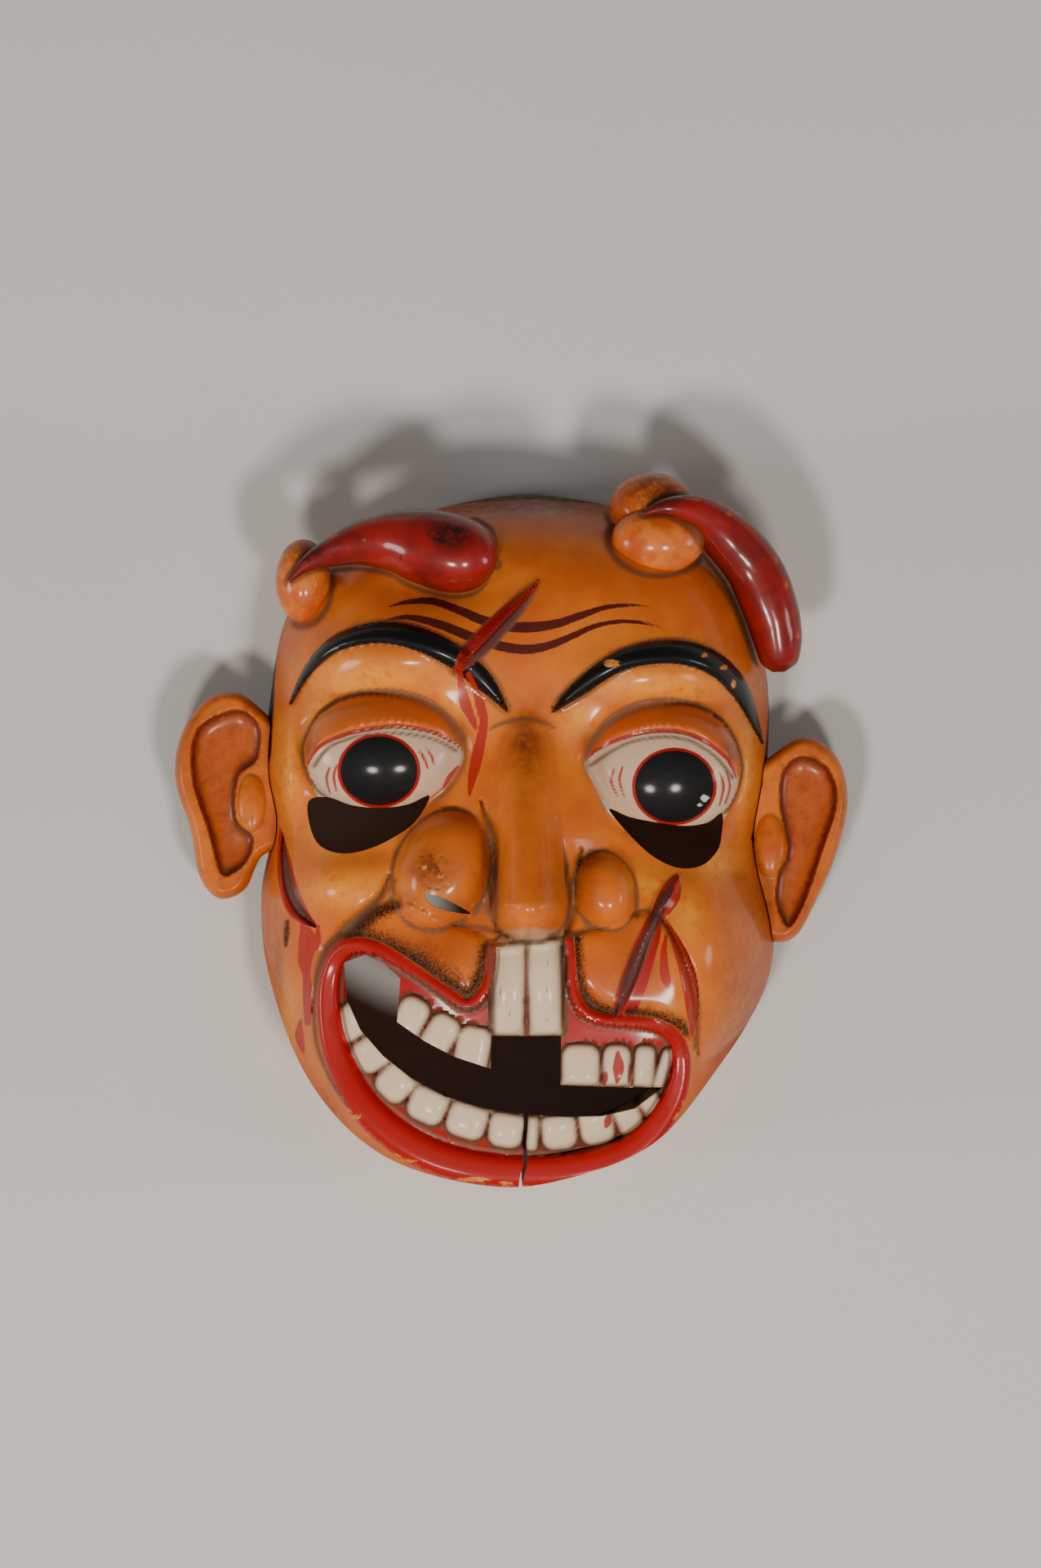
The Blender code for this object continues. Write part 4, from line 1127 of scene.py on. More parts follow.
def standing(mesh, co, rounds):
    """How far each point stands proud of its neighbourhood, in metres; negative in a groove."""
    count = len(co)
    a, b = mesh_array(mesh.edges, "vertices", 2, np.int32).T
    near = np.bincount(a, minlength=count) + np.bincount(b, minlength=count)
    mean = co.copy()
    for _ in range(rounds):
        total = [np.bincount(a, mean[b, k], count) + np.bincount(b, mean[a, k], count) for k in range(3)]
        mean = 0.5 * mean + 0.5 * np.array(total).T / near[:, None]
    normals = mesh_array(mesh.vertex_normals, "vector", 3)
    return ((co - mean) * normals).sum(1)


sheet_x, sheet_y, _ = on_the_sheet(mesh_array(head.data.vertices, "co", 3))
print(f"back on the sheet the head spans {np.ptp(sheet_x):.0f} by {np.ptp(sheet_y):.0f} points")

# %% [markdown]
# ## Store the paint on the mesh
# The distances are kept as named attributes, one number a point. Vertex colours could hold them as well,
# but only a few at a time and without a name for each. Attributes keep their own names and travel with
# the mesh.

# %% Store the face's paint
LIP_PAINT_DEPTH, LIP_PAINT_SLOPE, LIP_PAINT_MARGIN = 13, 1.5, 0.5
BROW_MARGIN, TOOTH_MARGIN = 0.6, 3
ARCH_MIDDLE, ARCH_REACH, ARCH_HEIGHT, ARCH_ENDS, BARE_BAND = 648, 125, 46, 700, 7
LOW_LIP_FROM, LOW_LIP_OVER, BORDER_FADE = 1320, 40, 16
GROWTH_RING_OUT, GROWTH_RING_WIDTH = 3, 5
FINE_ROUNDS, BROAD_ROUNDS = 3, 16
FINE_GROOVE, BROAD_GROOVE, FINE_EDGE = 0.00022, 0.0009, 0.0003


def store(mesh, values):
    """Keeps each column as a named attribute, one number a point."""
    for name, column in values.items():
        mesh.attributes.new(name, "FLOAT", "POINT").data.foreach_set("value", column.astype(np.float32))


def wear_values(mesh, co):
    """Grooves and edges of a piece, from 0 to 1."""
    fine, broad = standing(mesh, co, FINE_ROUNDS), standing(mesh, co, BROAD_ROUNDS)
    return {
        "groove": np.clip(-fine / FINE_GROOVE, 0, 1) * 0.5 + np.clip(-broad / BROAD_GROOVE, 0, 1) * 0.5,
        "edge": np.clip(fine / FINE_EDGE, 0, 1),
    }


def shape_values(x, y):
    """Strokes, patches and ovals of the face, as distances."""
    brows = [[(a, b, width + BROW_MARGIN) for a, b, width in route] for route in BROWS.values()]
    lids = patch_inside(x, y, [eye["lid"] for eye in EYES.values()])
    strokes = {"lid_line": LID_LINES, "vein": VEINS, "wrinkle": WRINKLES, "gash_core": GASH_CORES,
               "gash_line": GASH_LINES, "blood": BLOOD, "scratch": SCRATCHES, "brow": brows}
    patches = {"white": WHITES, "hair": HAIR, "gash": GASHES, "strip": [STRIP_UNDER_NOSE]}
    values = {name: stroke_inside(x, y, routes) for name, routes in strokes.items()}
    values.update({name: patch_inside(x, y, outlines) for name, outlines in patches.items()})
    values["lid"] = np.minimum(lids, oval_inside(x, y, [eye["ball"][:4] for eye in EYES.values()]))
    values["pupil"], values["chip"] = oval_inside(x, y, PUPILS), oval_inside(x, y, CHIPS)
    return values


def mouth_values(x, y, z):
    """Lips, gums and teeth. The lips' paint stops on the steep wall below them."""
    lips = smooth(LIP_ROLL, False)
    distance, width, crest = nearest(x, y, lips)
    lip = np.minimum(width + LIP_PAINT_MARGIN - distance, LIP_PAINT_SLOPE * (z - crest + LIP_PAINT_DEPTH))
    within = np.clip(depth_inside(x, y, lips[:, :2]), -FAR, FAR)
    return {"lip": np.clip(lip, -FAR, FAR), "gum": within,
            "tooth": np.minimum(teeth_inside(x, y), within + TOOTH_MARGIN),
            "low_lip": np.clip((y - LOW_LIP_FROM) / LOW_LIP_OVER, 0, 1)}


def age_values(x, y, z):
    """Wax and painted shade, stubble, yellow and painted-highlight patches, dark-paint and painted-shade
    patches, the head's border and the bare arch at the crown.
    """
    leeches_seen = [[row[:3] for row in route[:-1]] + [(*route[-1][:2], 1)] for route in LEECHES.values()]
    lumps = [lump[:4] for pair in SWELLINGS.values() for lump in pair]
    grown = np.maximum(stroke_inside(x, y, leeches_seen), oval_inside(x, y, lumps))
    round_growths = np.exp(-(((grown + GROWTH_RING_OUT) / GROWTH_RING_WIDTH) ** 2))
    from_border = depth_inside(x, y, smooth(HEAD_OUTLINE, True))
    arch = np.where(y < ARCH_ENDS, ARCH_HEIGHT * (1 - ((x - ARCH_MIDDLE) / ARCH_REACH) ** 2), -FAR)
    return {"wax": np.maximum(soft_lines(x, y, GLAZE_AND_SHADE_LINES), round_growths),
            "stubble": soft_lines(x, y, STUBBLE_LINES), "bright": soft_patches(x, y, YELLOW_AND_HIGHLIGHT_PATCHES),
            "dark": soft_patches(x, y, DARK_PAINT_AND_SHADE_PATCHES),
            "border": np.exp(-np.clip(from_border, 0, None) / BORDER_FADE),
            "crown": np.minimum(BARE_BAND - from_border, arch - z), "relief": z}


def face_values(mesh):
    """Everything that is painted on the head."""
    co = mesh_array(mesh.vertices, "co", 3)
    x, y, z = on_the_sheet(co)
    values = {**shape_values(x, y), **mouth_values(x, y, z), **age_values(x, y, z), **wear_values(mesh, co)}
    store(mesh, values)
    return len(values)


stored = face_values(head.data)
print("stored", stored, "paint attributes on the head's", len(head.data.vertices), "points")

# %% [markdown]
# ## Paint on the growths and ears
# A leech or a swelling only needs its chips, scratches and dark patches, and how far it lies from the
# leeches' middle, so that a leech can take painted shade along its sides and a swelling can darken where
# the two meet. An ear needs the depth inside its dished shell, its height above the table, and its own
# grooves, which take wax and painted shade, and edges.

# %% Store the growths' and ears' paint
def growth_values(mesh):
    """What is painted on a leech or a swelling."""
    x, y, _ = on_the_sheet(mesh_array(mesh.vertices, "co", 3))
    leeches_seen = [[row[:3] for row in route] for route in LEECHES.values()]
    store(mesh, {"chip": oval_inside(x, y, CHIPS), "scratch": stroke_inside(x, y, SCRATCHES),
                 "dark": soft_patches(x, y, DARK_PAINT_AND_SHADE_PATCHES), "beside": stroke_inside(x, y, leeches_seen)})


def ear_values(mesh, ear):
    """What is painted on an ear."""
    co = mesh_array(mesh.vertices, "co", 3)
    x, y, z = on_the_sheet(co)
    shell = np.clip(depth_inside(x, y, smooth(ear["hollow"], True)), -FAR, FAR)
    store(mesh, {"shell": shell, "relief": z, **wear_values(mesh, co)})


for growth in growths:
    growth_values(growth.data)
for name, obj in ears.items():
    ear_values(obj.data, EARS[name])
print("stored the paint of", len(growths), "growths and", len(ears), "ears")

# %% [markdown]
# ## Colours
# We pick a colour as a screen shows it, from 0 to 255, but a shader reckons in linear light. One small
# function leads from the first to the second. Blender's colour picker does the same behind its hex field.

# %% Turn screen colours into linear ones
def srgb(red, green, blue):
    """A colour as seen on a screen, 0 to 255, in the linear values that a shader wants."""
    share = np.array([red, green, blue]) / 255
    linear = np.where(share <= 0.04045, share / 12.92, ((share + 0.055) / 1.055) ** 2.4)
    return (*linear.tolist(), 1.0)


print("orange on the screen is", [round(v, 3) for v in srgb(205, 104, 32)], "to the shader")

# %% [markdown]
# ## A small paintbox
# A material is a network of nodes. Building it link by link is long-winded, so a few helpers carry the
# load: one reads an attribute, one makes noise, and one lays a coat of paint over what is already there.
# Hand-painted edges are never quite straight, which is why every coat's distance is disturbed by a little
# noise before it is cut off.

# %% Paintbox helpers
class Paintbox:
    """One material's nodes, with short names for what a painter does."""

    def __init__(self, material):
        material.use_nodes = True
        self.tree = material.node_tree
        self.shader = self.tree.nodes["Principled BSDF"]
        self.place = self.node("TexCoord").outputs["Object"]
        self.noises = {}

    def node(self, kind, **settings):
        made = self.tree.nodes.new("ShaderNode" + kind)
        for key, value in settings.items():
            setattr(made, key, value)
        return made

    def plug(self, value, socket):
        if isinstance(value, bpy.types.NodeSocket):
            self.tree.links.new(value, socket)
        else:
            socket.default_value = value

    def maths(self, operation, *values):
        made = self.node("Math", operation=operation)
        for value, socket in zip(values, made.inputs):
            self.plug(value, socket)
        return made.outputs[0]

    def read(self, name):
        return self.node("Attribute", attribute_name=name).outputs["Fac"]

    def noise(self, scale, detail=3.0, roughness=0.6, stretch=(1, 1, 1)):
        """Cloudy noise; stretch below 1 draws it out along that axis. The same noise is made once only."""
        key = (scale, detail, roughness, stretch)
        if key not in self.noises:
            spread = self.node("Mapping")
            spread.inputs["Scale"].default_value = stretch
            self.plug(self.place, spread.inputs["Vector"])
            made = self.node("TexNoise")
            self.plug(spread.outputs["Vector"], made.inputs["Vector"])
            for socket, value in (("Scale", scale), ("Detail", detail), ("Roughness", roughness)):
                made.inputs[socket].default_value = value
            self.noises[key] = made.outputs["Fac"]
        return self.noises[key]

    def cells(self, scale):
        made = self.node("TexVoronoi")
        self.plug(self.place, made.inputs["Vector"])
        made.inputs["Scale"].default_value = scale
        return made.outputs["Distance"]

    def fade(self, value, low, high, to_low=0.0, to_high=1.0):
        made = self.node("MapRange", interpolation_type="SMOOTHSTEP")
        for socket, given in zip(made.inputs, (value, low, high, to_low, to_high)):
            self.plug(given, socket)
        return made.outputs["Result"]

    def mix(self, share, under, over):
        made = self.node("Mix", data_type="RGBA", clamp_factor=True)
        self.plug(share, made.inputs[0])
        self.plug(under, made.inputs[6])
        self.plug(over, made.inputs[7])
        return made.outputs[2]

    def brushed(self, name, grow=0.0, soft=0.8, wobble=1.6, scale=700.0):
        """Where a coat of paint lies: an attribute cut off at nought, with a wavering edge."""
        waver = self.scaled(self.noise(scale), 2 * wobble, grow - wobble)
        return self.fade(self.plus(self.read(name), waver), -soft, soft)

    def fold(self, operation, values):
        """One sum worked through all the values in turn."""
        result = values[0]
        for value in values[1:]:
            result = self.maths(operation, result, value)
        return result

    def times(self, *values):
        return self.fold("MULTIPLY", values)

    def plus(self, *values):
        return self.fold("ADD", values)

    def most(self, *values):
        return self.fold("MAXIMUM", values)

    def scaled(self, value, by, plus):
        """The value multiplied, and then something added."""
        return self.maths("MULTIPLY_ADD", value, by, plus)

    def finish(self, colour, roughness, coat, coat_roughness, bump_height, strength=1.0):
        """Plug the picture of the surface into the shader."""
        relief = self.node("Bump")
        relief.inputs["Strength"].default_value = strength
        relief.inputs["Distance"].default_value = 0.0004
        self.plug(bump_height, relief.inputs["Height"])
        self.plug(relief.outputs["Normal"], self.shader.inputs["Normal"])
        self.plug(colour, self.shader.inputs["Base Color"])
        self.plug(roughness, self.shader.inputs["Roughness"])
        self.plug(coat, self.shader.inputs["Coat Weight"])
        self.shader.inputs["Coat Roughness"].default_value = coat_roughness
        self.shader.inputs["Coat IOR"].default_value = 1.45
        self.shader.inputs["Specular IOR Level"].default_value = 0.18


print("the paintbox has", len([name for name in vars(Paintbox) if not name.startswith("_")]), "helpers")

# %% [markdown]
# ## The face's ground and coats
# The painter's own order is kept: orange ground, then whites, lids and lines, then reds, then black. Each
# is one coat in a list, so a change of mind is a change of one line. Thick coats also raise the surface a
# hair, which the lacquer shows.

# %% Paint the face
ORANGE, ORANGE_DEEP, ORANGE_YELLOW_AND_HIGHLIGHT = srgb(222, 117, 30), srgb(204, 94, 24), srgb(244, 150, 40)
BLACK, WHITE, IVORY, RED = srgb(9, 9, 10), srgb(206, 176, 146), srgb(222, 196, 164), srgb(168, 14, 10)
MAROON, WAX_AND_SHADE, LID, UMBER_AND_SHADE = srgb(74, 18, 16), srgb(98, 72, 52), srgb(204, 92, 34), srgb(96, 38, 14)
STRIP, SCAR, BLOOD_RED = srgb(176, 136, 104), srgb(80, 52, 48), srgb(168, 24, 18)
WOOD_PALE, GREY_WOOD = srgb(214, 150, 86), srgb(112, 92, 76)

COATS = [
    # attribute, grow, softness, waver, colour, strength
    ("white", 0.0, 0.8, 1.2, WHITE, 1.0),
    ("strip", 0.0, 1.5, 2.0, STRIP, 0.75),
    ("vein", 0.3, 0.6, 0.5, RED, 0.9),
    ("pupil", 3.4, 0.6, 0.8, RED, 1.0),
    ("pupil", 0.0, 0.6, 0.6, BLACK, 1.0),
    ("lid_line", 0.2, 0.7, 0.8, RED, 0.95),
    ("gum", 0.0, 1.0, 1.0, RED, 1.0),
    ("tooth", -2.0, 1.6, 1.2, IVORY, 1.0),
    ("lip", 0.0, 0.9, 1.4, RED, 1.0),
    ("wrinkle", 0.0, 0.7, 1.0, MAROON, 0.97),
    ("brow", 0.0, 0.8, 1.2, BLACK, 1.0),
    ("blood", 0.0, 0.8, 1.2, BLOOD_RED, 0.92),
    ("gash", 0.0, 0.8, 1.2, BLOOD_RED, 1.0),
    ("gash_core", 0.0, 1.6, 1.5, SCAR, 0.9),
    ("gash_line", 0.0, 0.7, 0.8, MAROON, 0.95),
    ("hair", 0.0, 1.2, 2.2, BLACK, 0.97),
]

face_paint = bpy.data.materials.new("face_lacquer")
box = Paintbox(face_paint)
clouds, mottle = box.noise(38.0, 4.0), box.noise(260.0, 4.0, 0.7)
brush = box.noise(900.0, 3.0, 0.6, (1.0, 0.12, 1.0))
colour = box.mix(box.fade(clouds, 0.35, 0.68), ORANGE_DEEP, ORANGE)
# Lighter orange in patches: yellow paint round the eyes, and painted highlights on the temples, cheeks and
# jaw.
colour = box.mix(box.times(box.read("bright"), box.fade(mottle, 0.2, 0.6)), colour, ORANGE_YELLOW_AND_HIGHLIGHT)
# Darker red-orange towards the outline: partly patina, partly painted shade where the sides turn away.
colour = box.mix(box.times(box.read("border"), 0.55), colour, srgb(158, 54, 12))
colour = box.mix(box.times(box.brushed("lid", 1.0, 2.5, 1.5), 0.7), colour, LID)
# Darker umber in patches: dark paint and wear on the nose, and painted shade in grooves, at the lid ends,
# under the nose and on the sides that turn away.
colour = box.mix(box.times(box.read("dark"), box.fade(mottle, 0.2, 0.65, 0.35, 1.0)), colour, UMBER_AND_SHADE)
painted_relief = 0.0
for name, grow, soft, waver, tint, strength in COATS:
    lies = box.brushed(name, grow, soft, waver)
    colour = box.mix(box.times(lies, strength), colour, tint)
    if name in ("brow", "tooth", "lip", "wrinkle"):
        painted_relief = box.plus(box.times(lies, 0.06), painted_relief)
print(len(COATS), "coats take", len(box.tree.nodes), "nodes")

# %% [markdown]
# ## Stubble, wax, painted shade and dirt
# Dots of stubble stand round the mouth, and brown wax has settled in the creases, round the teeth and
# inside the lips; the same brown also lays painted shade in every groove and between the teeth. Bristles
# as real hair would be lost in such short stubble; noise cut off inside a soft line gives the same specks.

# %% Add stubble, wax, painted shade and dirt
stubble = box.read("stubble")
bristle = box.scaled(box.noise(1100.0, 3.0, 0.75), 1.5, -0.75)
outside_lips = box.fade(box.read("lip"), 0.5, -1.5)
stubbled = box.times(box.fade(box.plus(stubble, bristle), 0.15, 1.15),
                     box.fade(stubble, 0.03, 0.25), outside_lips)
stubbled = box.times(stubbled, box.fade(box.read("gum"), 1, -1), box.fade(box.read("blood"), 0, -2))
colour = box.mix(stubbled, colour, srgb(36, 16, 8))

on_top = box.fade(box.read("relief"), 30, 50)
gum = box.fade(box.read("gum"), 0, 3)
# Brown in the creases: the drawn wax lines and a ring round the growths, and painted shade wherever the mesh
# lies in a groove.
wax_here = box.most(box.times(box.read("wax"), on_top, 0.75),
                   box.times(box.read("groove"), box.fade(gum, 0, 1, 0.75, 0.1)))
wax_here = box.times(box.fade(wax_here, 0.12, 0.85), box.fade(mottle, 0.1, 0.5, 0.45, 0.9))
wax_here = box.times(wax_here, box.fade(box.read("blood"), 1, -2, 0.3, 1.0))
not_black = box.fade(box.read("pupil"), 2, -4)
colour = box.mix(box.times(wax_here, not_black), colour, WAX_AND_SHADE)
# Brown round each tooth and between the teeth: wax and painted shade.
tooth_wax_and_shade = box.times(box.fade(box.read("tooth"), 9, -1), box.fade(box.read("tooth"), -5, -1.5))
colour = box.mix(box.times(tooth_wax_and_shade, box.fade(box.read("lip"), 1, -2), 0.9), colour, WAX_AND_SHADE)
from_lip = box.maths("ABSOLUTE", box.plus(box.read("lip"), 2.5))
colour = box.mix(box.times(box.fade(from_lip, 3.5, 1.0), gum, 0.75), colour, srgb(116, 92, 76))
speckle = box.fade(box.noise(1900.0, 2.0, 0.5), 0.67, 0.74)
colour = box.mix(box.times(speckle, 0.45), colour, srgb(70, 34, 18))
print("with its dirt the face takes", len(box.tree.nodes), "nodes")

# %% [markdown]
# ## Chips and bare edges
# Paint has rubbed off the proud edges and flaked in spots, down to pale wood or the orange ground. At the
# rim and in an arch over the crown the wood was never painted at all. The wear follows the stored edges
# and noise, so that it falls where hands and cloths would reach.

# %% Chip and rub the paint
rubbed = box.fade(box.scaled(box.read("edge"), 0.5, box.noise(520.0, 4.0, 0.75)), 0.88, 0.95)
for name in ("tooth", "brow", "gash", "lid", "blood", "white"):
    rubbed = box.times(rubbed, box.fade(box.read(name), 0, -5))
rubbed = box.times(rubbed, box.fade(box.read("gum"), -2, -12), box.fade(box.read("lip"), 2, 0, 0.0, 1.0))
lip_edge = box.times(box.fade(box.maths("ABSOLUTE", box.plus(box.read("lip"), -1.5)), 3, 1),
                     box.fade(box.read("gum"), 0, -4), box.fade(box.noise(330.0, 4.0, 0.75), 0.54, 0.58),
                     box.read("low_lip"))
rubbed = box.most(rubbed, lip_edge)
rare_chips = box.fade(box.noise(420.0, 5.0, 0.8), 0.745, 0.76)
chip = box.times(box.brushed("chip", 0.0, 0.6, 3.0, 900.0), box.fade(box.read("relief"), 64, 74))
chip = box.most(chip, box.most(rubbed, rare_chips))
under = box.mix(box.fade(mottle, 0.4, 0.6), WOOD_PALE, ORANGE)
under = box.mix(box.fade(box.read("pupil"), -2, 0), under, srgb(216, 206, 194))
colour = box.mix(box.times(chip, 0.85), colour, under)
scratch = box.brushed("scratch", 0.0, 0.5, 0.8, 1400.0)
colour = box.mix(box.times(scratch, 0.8), colour, srgb(48, 26, 14))
low_rim = box.most(box.fade(box.scaled(mottle, 7.0, box.read("relief")), 7.5, 6.0),
                  box.fade(box.scaled(mottle, 3.0, box.read("crown")), 1.2, 2.4))
colour = box.mix(low_rim, colour, box.mix(box.fade(mottle, 0.3, 0.7), GREY_WOOD, srgb(70, 52, 38)))
print("with its chips the face takes", len(box.tree.nodes), "nodes")

# %% [markdown]
# ## Lacquer
# Over everything lies clear lacquer, glossy on the sound paint and dull on chips, wax and stubble. The
# shader's coat is made for that: a second, shinier skin over the rough one. A bump of brush marks and
# coat edges keeps the glints from looking like plastic.

# %% Lacquer the face
dull = box.most(box.most(chip, wax_here), low_rim)
dull = box.most(dull, box.times(box.fade(box.read("pupil"), -1, 1), 0.45))
dull = box.most(dull, box.times(stubbled, 0.8))
dull = box.most(dull, box.times(box.fade(box.read("tooth"), -2, 1), 0.6))
roughness = box.scaled(dull, 0.3, box.fade(mottle, 0.2, 0.8, 0.42, 0.56))
coat = box.times(box.fade(dull, 0.2, 0.9, 0.42, 0.04), box.fade(box.read("border"), 0.1, 0.6, 1.0, 0.25))
height = box.plus(box.times(brush, 0.10), box.plus(box.times(clouds, 0.35), painted_relief))
height = box.plus(box.scaled(chip, -0.22, height), box.times(scratch, -0.3))
box.finish(colour, roughness, coat, 0.14, height)
print("the face's material has", len(box.tree.nodes), "nodes in", len(COATS), "coats")

# %% [markdown]
# ## Bare wood
# Inside and round the rim nobody painted. Light wood has gone brown and grey from handling and sweat,
# with its grain drawn out from crown to chin and the gouge's facets still there. Noise stretched along
# one axis is enough for grain; rings of a real log would only show on a much larger cut.

# %% Stain the wood
def stain_wood(material, light, dark, dirt, grain_scale=420.0):
    box = Paintbox(material)
    grain = box.noise(grain_scale, 6.0, 0.7, (1.0, 0.07, 1.0))
    pores = box.noise(2600.0, 2.0, 0.6, (1.0, 0.1, 1.0))
    clouds, facets = box.noise(30.0, 3.0), box.cells(120.0)
    colour = box.mix(box.fade(grain, 0.36, 0.66), dark, light)
    colour = box.mix(box.fade(pores, 0.6, 0.7, 0.0, 0.5), colour, dirt)
    colour = box.mix(box.fade(clouds, 0.42, 0.7, 0.0, 0.65), colour, dirt)
    height = box.plus(box.times(grain, 0.5), box.plus(box.times(pores, -0.15), box.times(facets, 0.5)))
    box.finish(colour, box.fade(grain, 0.3, 0.7, 0.62, 0.82), 0.0, 0.5, height)
    return len(box.tree.nodes)


bare_wood = bpy.data.materials.new("bare_wood")
count = stain_wood(bare_wood, srgb(140, 102, 66), srgb(92, 62, 38), srgb(44, 30, 20))
print("bare wood has", count, "nodes")

# %% [markdown]
# ## Leeches
# The leeches are dark red lacquer, with painted shade along their sides where they turn under, and old
# specks and a few chips on top. The distance from the leech's middle, stored on its points, tells the
# shader where the sides are.

# %% Paint the leeches
box = Paintbox(leech_paint)
clouds, mottle = box.noise(60.0, 4.0), box.noise(320.0, 4.0, 0.7)
colour = box.mix(box.fade(clouds, 0.35, 0.65), srgb(112, 18, 16), srgb(150, 26, 22))
# Painted shade along the sides, where the leech turns under.
colour = box.mix(box.fade(box.read("beside"), 9, 1, 0.0, 0.6), colour, srgb(58, 14, 12))
# Darker patches from the drawing: wear, and painted shade on the upper side.
worn_and_shaded = box.times(box.fade(box.read("dark"), 0.1, 0.7), box.fade(mottle, 0.36, 0.56))
colour = box.mix(worn_and_shaded, colour, srgb(46, 16, 14))
speckle = box.fade(box.noise(1500.0, 3.0, 0.6), 0.62, 0.72)
colour = box.mix(box.times(speckle, 0.55), colour, srgb(60, 16, 14))
chip = box.most(box.brushed("chip", 0.0, 0.6, 3.0, 900.0),
               box.fade(box.noise(360.0, 5.0, 0.8), 0.70, 0.715))
colour = box.mix(box.times(chip, 0.8), colour, srgb(196, 92, 40))
scratch = box.brushed("scratch", 0.0, 0.5, 0.8, 1400.0)
colour = box.mix(scratch, colour, srgb(40, 14, 12))
height = box.plus(box.times(clouds, 0.3), box.scaled(chip, -0.2, box.times(mottle, 0.12)))
box.finish(colour, box.fade(mottle, 0.2, 0.8, 0.36, 0.5), box.fade(chip, 0, 1, 0.6, 0.1), 0.14, height)
print("the leeches' material has", len(box.tree.nodes), "nodes")

# %% [markdown]
# ## Swellings
# The swellings are orange like the face, blotched with red where they are sore and brown where a leech
# bites in. The dark patches of the drawing darken their upper sides, as dark paint and painted shade, and
# hold back the blotches, which are one large noise.

# %% Paint the swellings
swelling_paint = bpy.data.materials.new("swelling_lacquer")
box = Paintbox(swelling_paint)
clouds, mottle = box.noise(80.0, 4.0), box.noise(420.0, 4.0, 0.75)
colour = box.mix(box.fade(clouds, 0.35, 0.65), srgb(196, 84, 24), srgb(224, 122, 46))
# Darker on the upper sides, from the dark patches: dark paint and painted shade.
colour = box.mix(box.times(box.read("dark"), box.fade(mottle, 0.25, 0.6)), colour, srgb(112, 36, 14))
blotch = box.fade(box.noise(170.0, 5.0, 0.75), 0.5, 0.62, 0.0, 0.6)
blotch = box.times(blotch, box.fade(box.read("dark"), 0.02, 0.4, 0.35, 1.0))
colour = box.mix(blotch, colour, srgb(132, 34, 20))
close = box.times(box.fade(box.read("beside"), -6, -1), 0.7)
colour = box.mix(close, colour, srgb(88, 50, 34))
chip = box.fade(box.noise(380.0, 5.0, 0.8), 0.71, 0.725)
colour = box.mix(box.times(chip, 0.7), colour, WOOD_PALE)
height = box.plus(box.times(clouds, 0.3), box.scaled(chip, -0.2, box.times(mottle, 0.15)))
box.finish(colour, box.fade(mottle, 0.2, 0.8, 0.38, 0.52), box.fade(chip, 0, 1, 0.5, 0.1), 0.14, height)
print("the swellings' material has", len(box.tree.nodes), "nodes")

# %% [markdown]
# ## Ears
# The ears get their red-brown shading from the depth inside their dished shell, as the painter wiped dark
# lacquer into it. Their backs were left nearly bare, which the stored height above the table tells.

# %% Paint the ears
ear_paint = bpy.data.materials.new("ear_lacquer")
box = Paintbox(ear_paint)
clouds, mottle = box.noise(55.0, 4.0), box.noise(300.0, 4.0, 0.7)
colour = box.mix(box.fade(clouds, 0.35, 0.65), srgb(184, 84, 18), srgb(212, 110, 26))
inside = box.brushed("shell", -1.0, 1.5, 2.5, 300.0)
ragged = box.scaled(box.noise(420.0, 4.0, 0.7), 8.0, box.read("shell"))
shell = box.mix(box.fade(ragged, 7, 17), srgb(100, 20, 10), srgb(186, 84, 22))
shell = box.mix(box.fade(mottle, 0.45, 0.7, 0.0, 0.4), shell, srgb(132, 52, 20))
colour = box.mix(inside, colour, shell)
# Brown in the ear's grooves: wax and painted shade.
colour = box.mix(box.times(box.read("groove"), 0.8), colour, WAX_AND_SHADE)
wash = box.fade(box.noise(140.0, 5.0, 0.75), 0.5, 0.68, 0.0, 0.45)
colour = box.mix(wash, colour, srgb(120, 50, 20))
chip = box.most(box.fade(box.noise(400.0, 5.0, 0.8), 0.70, 0.715),
               box.fade(box.scaled(box.read("edge"), 0.3, box.noise(520.0, 4.0, 0.75)), 0.74, 0.8))
colour = box.mix(box.times(chip, 0.7), colour, WOOD_PALE)
behind = EAR_BACK / RELIEF
back = box.fade(box.scaled(mottle, 3.0, box.read("relief")), behind + 3.4, behind + 2.2)
colour = box.mix(back, colour, srgb(84, 58, 38))
dull = box.most(chip, back)
height = box.plus(box.times(clouds, 0.3), box.scaled(dull, -0.2, box.times(mottle, 0.2)))
box.finish(colour, box.fade(mottle, 0.2, 0.8, 0.46, 0.6), box.fade(dull, 0, 1, 0.3, 0.04), 0.2, height)
print("materials:", sorted(m.name for m in bpy.data.materials if m.use_nodes))

# %% [markdown]
# ## Put the mask together
# Each piece gets its paint and rides on the frame's one body, standing in for the plain solid it was made
# from. The workshop's leftovers, cutters and routes, are cleared away. Edges sharper than a rounded
# corner stay crisp.

# %% Dress the frame
SHARP = math.radians(50)
for obj in (head, *growths, *ears.values()):
    obj.data.set_sharp_from_angle(angle=SHARP)

head.data.materials.clear()
for material in (face_paint, bare_wood):
    head.data.materials.append(material)
for growth, material in zip(growths, (leech_paint, leech_paint, swelling_paint, swelling_paint)):
    growth.data.materials.clear()
    growth.data.materials.append(material)
for obj in ears.values():
    obj.data.materials.clear()
    obj.data.materials.append(ear_paint)

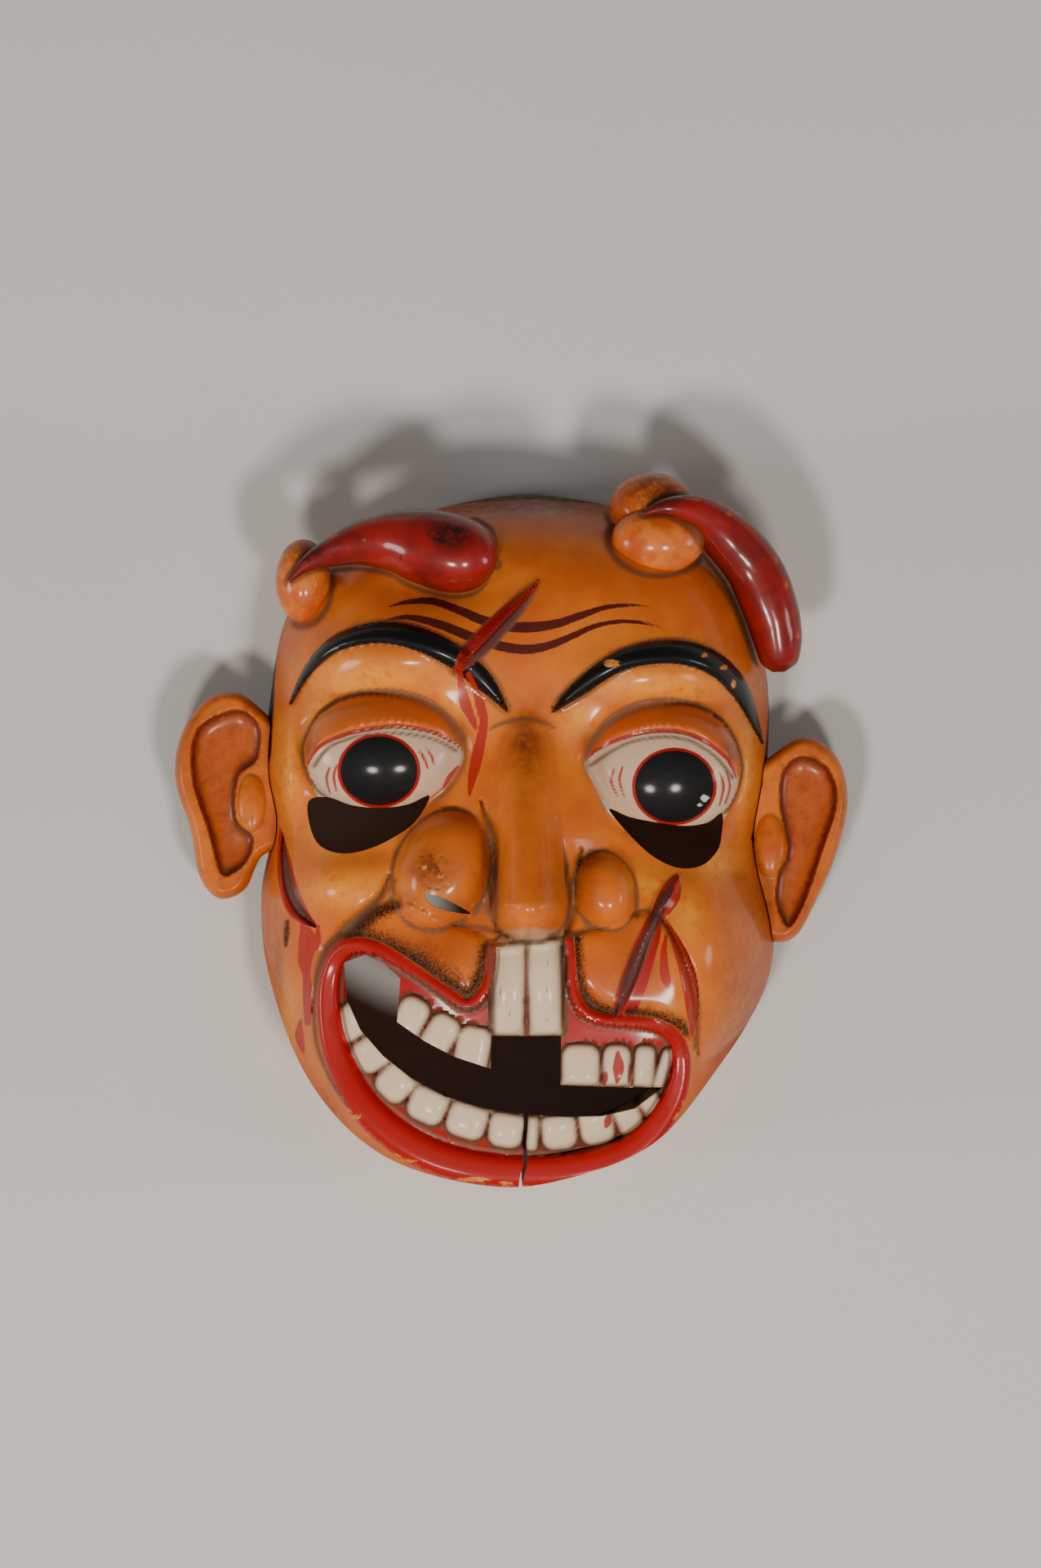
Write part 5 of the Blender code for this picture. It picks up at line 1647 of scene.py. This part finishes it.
mask = bpy.data.collections.new("mask")
bpy.context.scene.collection.children.link(mask)
dressed = [(head, "painted_face", "face")] + [(growth, "painted_face", "face") for growth in growths]
dressed += [(obj, "painted_ears", name) for name, obj in ears.items()]
for obj, finish, node in dressed:
    for holder in list(obj.users_collection):
        holder.objects.unlink(obj)
    mask.objects.link(obj)
    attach(obj, "root")
    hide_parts(node)
for holder in (workshop, cuts):
    for obj in list(holder.objects):
        bpy.data.objects.remove(obj)
    bpy.data.collections.remove(holder)
print("pieces:", [obj.name for obj, _, _ in dressed])

# %% [markdown]
# ## Floor
# The mask lies on a plain pale floor. It sits a hair below the rim, because two surfaces in one place
# would flicker through each other. A trace of noise keeps it from looking like a flat colour.

# %% Lay the floor
FLOOR_REACH, FLOOR_GAP = 8.0, 0.0004
FLOOR_COLOUR, FLOOR_SHADE = srgb(214, 211, 205), srgb(206, 203, 198)

bm = bmesh.new()
bmesh.ops.create_grid(bm, x_segments=1, y_segments=1, size=FLOOR_REACH)
for vert in bm.verts:
    vert.co.z = -FLOOR_GAP
floor_mesh = bpy.data.meshes.new("floor")
bm.to_mesh(floor_mesh)
bm.free()
floor = bpy.data.objects.new("floor", floor_mesh)
bpy.context.scene.collection.objects.link(floor)
floor_paint = bpy.data.materials.new("pale_floor")
box = Paintbox(floor_paint)
colour = box.mix(box.fade(box.noise(3.0, 2.0), 0.3, 0.7, 0.0, 0.25), FLOOR_COLOUR, FLOOR_SHADE)
box.finish(colour, 0.85, 0.0, 0.5, box.noise(900.0), 0.05)
floor.data.materials.append(floor_paint)
print("the floor reaches", FLOOR_REACH, "m each way")

# %% [markdown]
# ## Light
# Two round lights stand on the chin's side and one low on each side. Their size is a choice between two
# looks: a broad panel would spread one soft glint over the lacquer, and a bare lamp would leave a hard
# dot. These give the small soft glints of the photograph. A faint grey world fills the shadows.

# %% Set the lights
FOCUS_HEIGHT = 0.05
WARM, MILD = (1.0, 0.95, 0.88), (1.0, 0.97, 0.93)
LIGHTS = [
    # name, place, size, power, colour
    ("key_left", (-0.45, -0.95, 1.9), 0.3, 21.0, WARM),
    ("key_right", (0.5, -0.9, 1.9), 0.3, 21.0, WARM),
    ("left_side", (-1.6, -0.25, 0.65), 0.5, 10.0, MILD),
    ("right_side", (1.6, -0.2, 0.7), 0.5, 6.0, MILD),
]
WORLD_COLOUR, WORLD_STRENGTH = (0.82, 0.84, 0.88, 1), 0.14

for name, where, size, power, tint in LIGHTS:
    light = bpy.data.lights.new(name, "AREA")
    light.shape, light.size, light.energy, light.color = "DISK", size, power, tint
    obj = bpy.data.objects.new(name, light)
    bpy.context.scene.collection.objects.link(obj)
    obj.location = where
    obj.rotation_euler = (Vector((0, 0, FOCUS_HEIGHT)) - Vector(where)).to_track_quat("-Z", "Y").to_euler()
world = bpy.data.worlds.new("studio")
world.use_nodes = True
world.node_tree.nodes["Background"].inputs["Color"].default_value = WORLD_COLOUR
world.node_tree.nodes["Background"].inputs["Strength"].default_value = WORLD_STRENGTH
bpy.context.scene.world = world
print("lights:", [name for name, *_ in LIGHTS])

# %% [markdown]
# ## Camera
# The camera looks straight down, as the photograph looks straight at the face. A long lens from far away
# keeps the face from bulging towards us. Its length follows from the sheet, so that the picture's frame
# is the sheet's.

# %% Set the camera
CAMERA_HEIGHT, PICTURE = 6.0, (1275, 1920)

camera = bpy.data.objects.new("camera", bpy.data.cameras.new("camera"))
bpy.context.scene.collection.objects.link(camera)
middle = Vector(place(PICTURE[0] / 2, PICTURE[1] / 2, 0.0))
camera.location = middle + Vector((0, 0, CAMERA_HEIGHT + FOCUS_HEIGHT))
camera.data.lens = camera.data.sensor_width * CAMERA_HEIGHT / (PICTURE[1] * POINT)
bpy.context.scene.camera = camera
print(f"the lens is {camera.data.lens:.0f} mm long")

# %% [markdown]
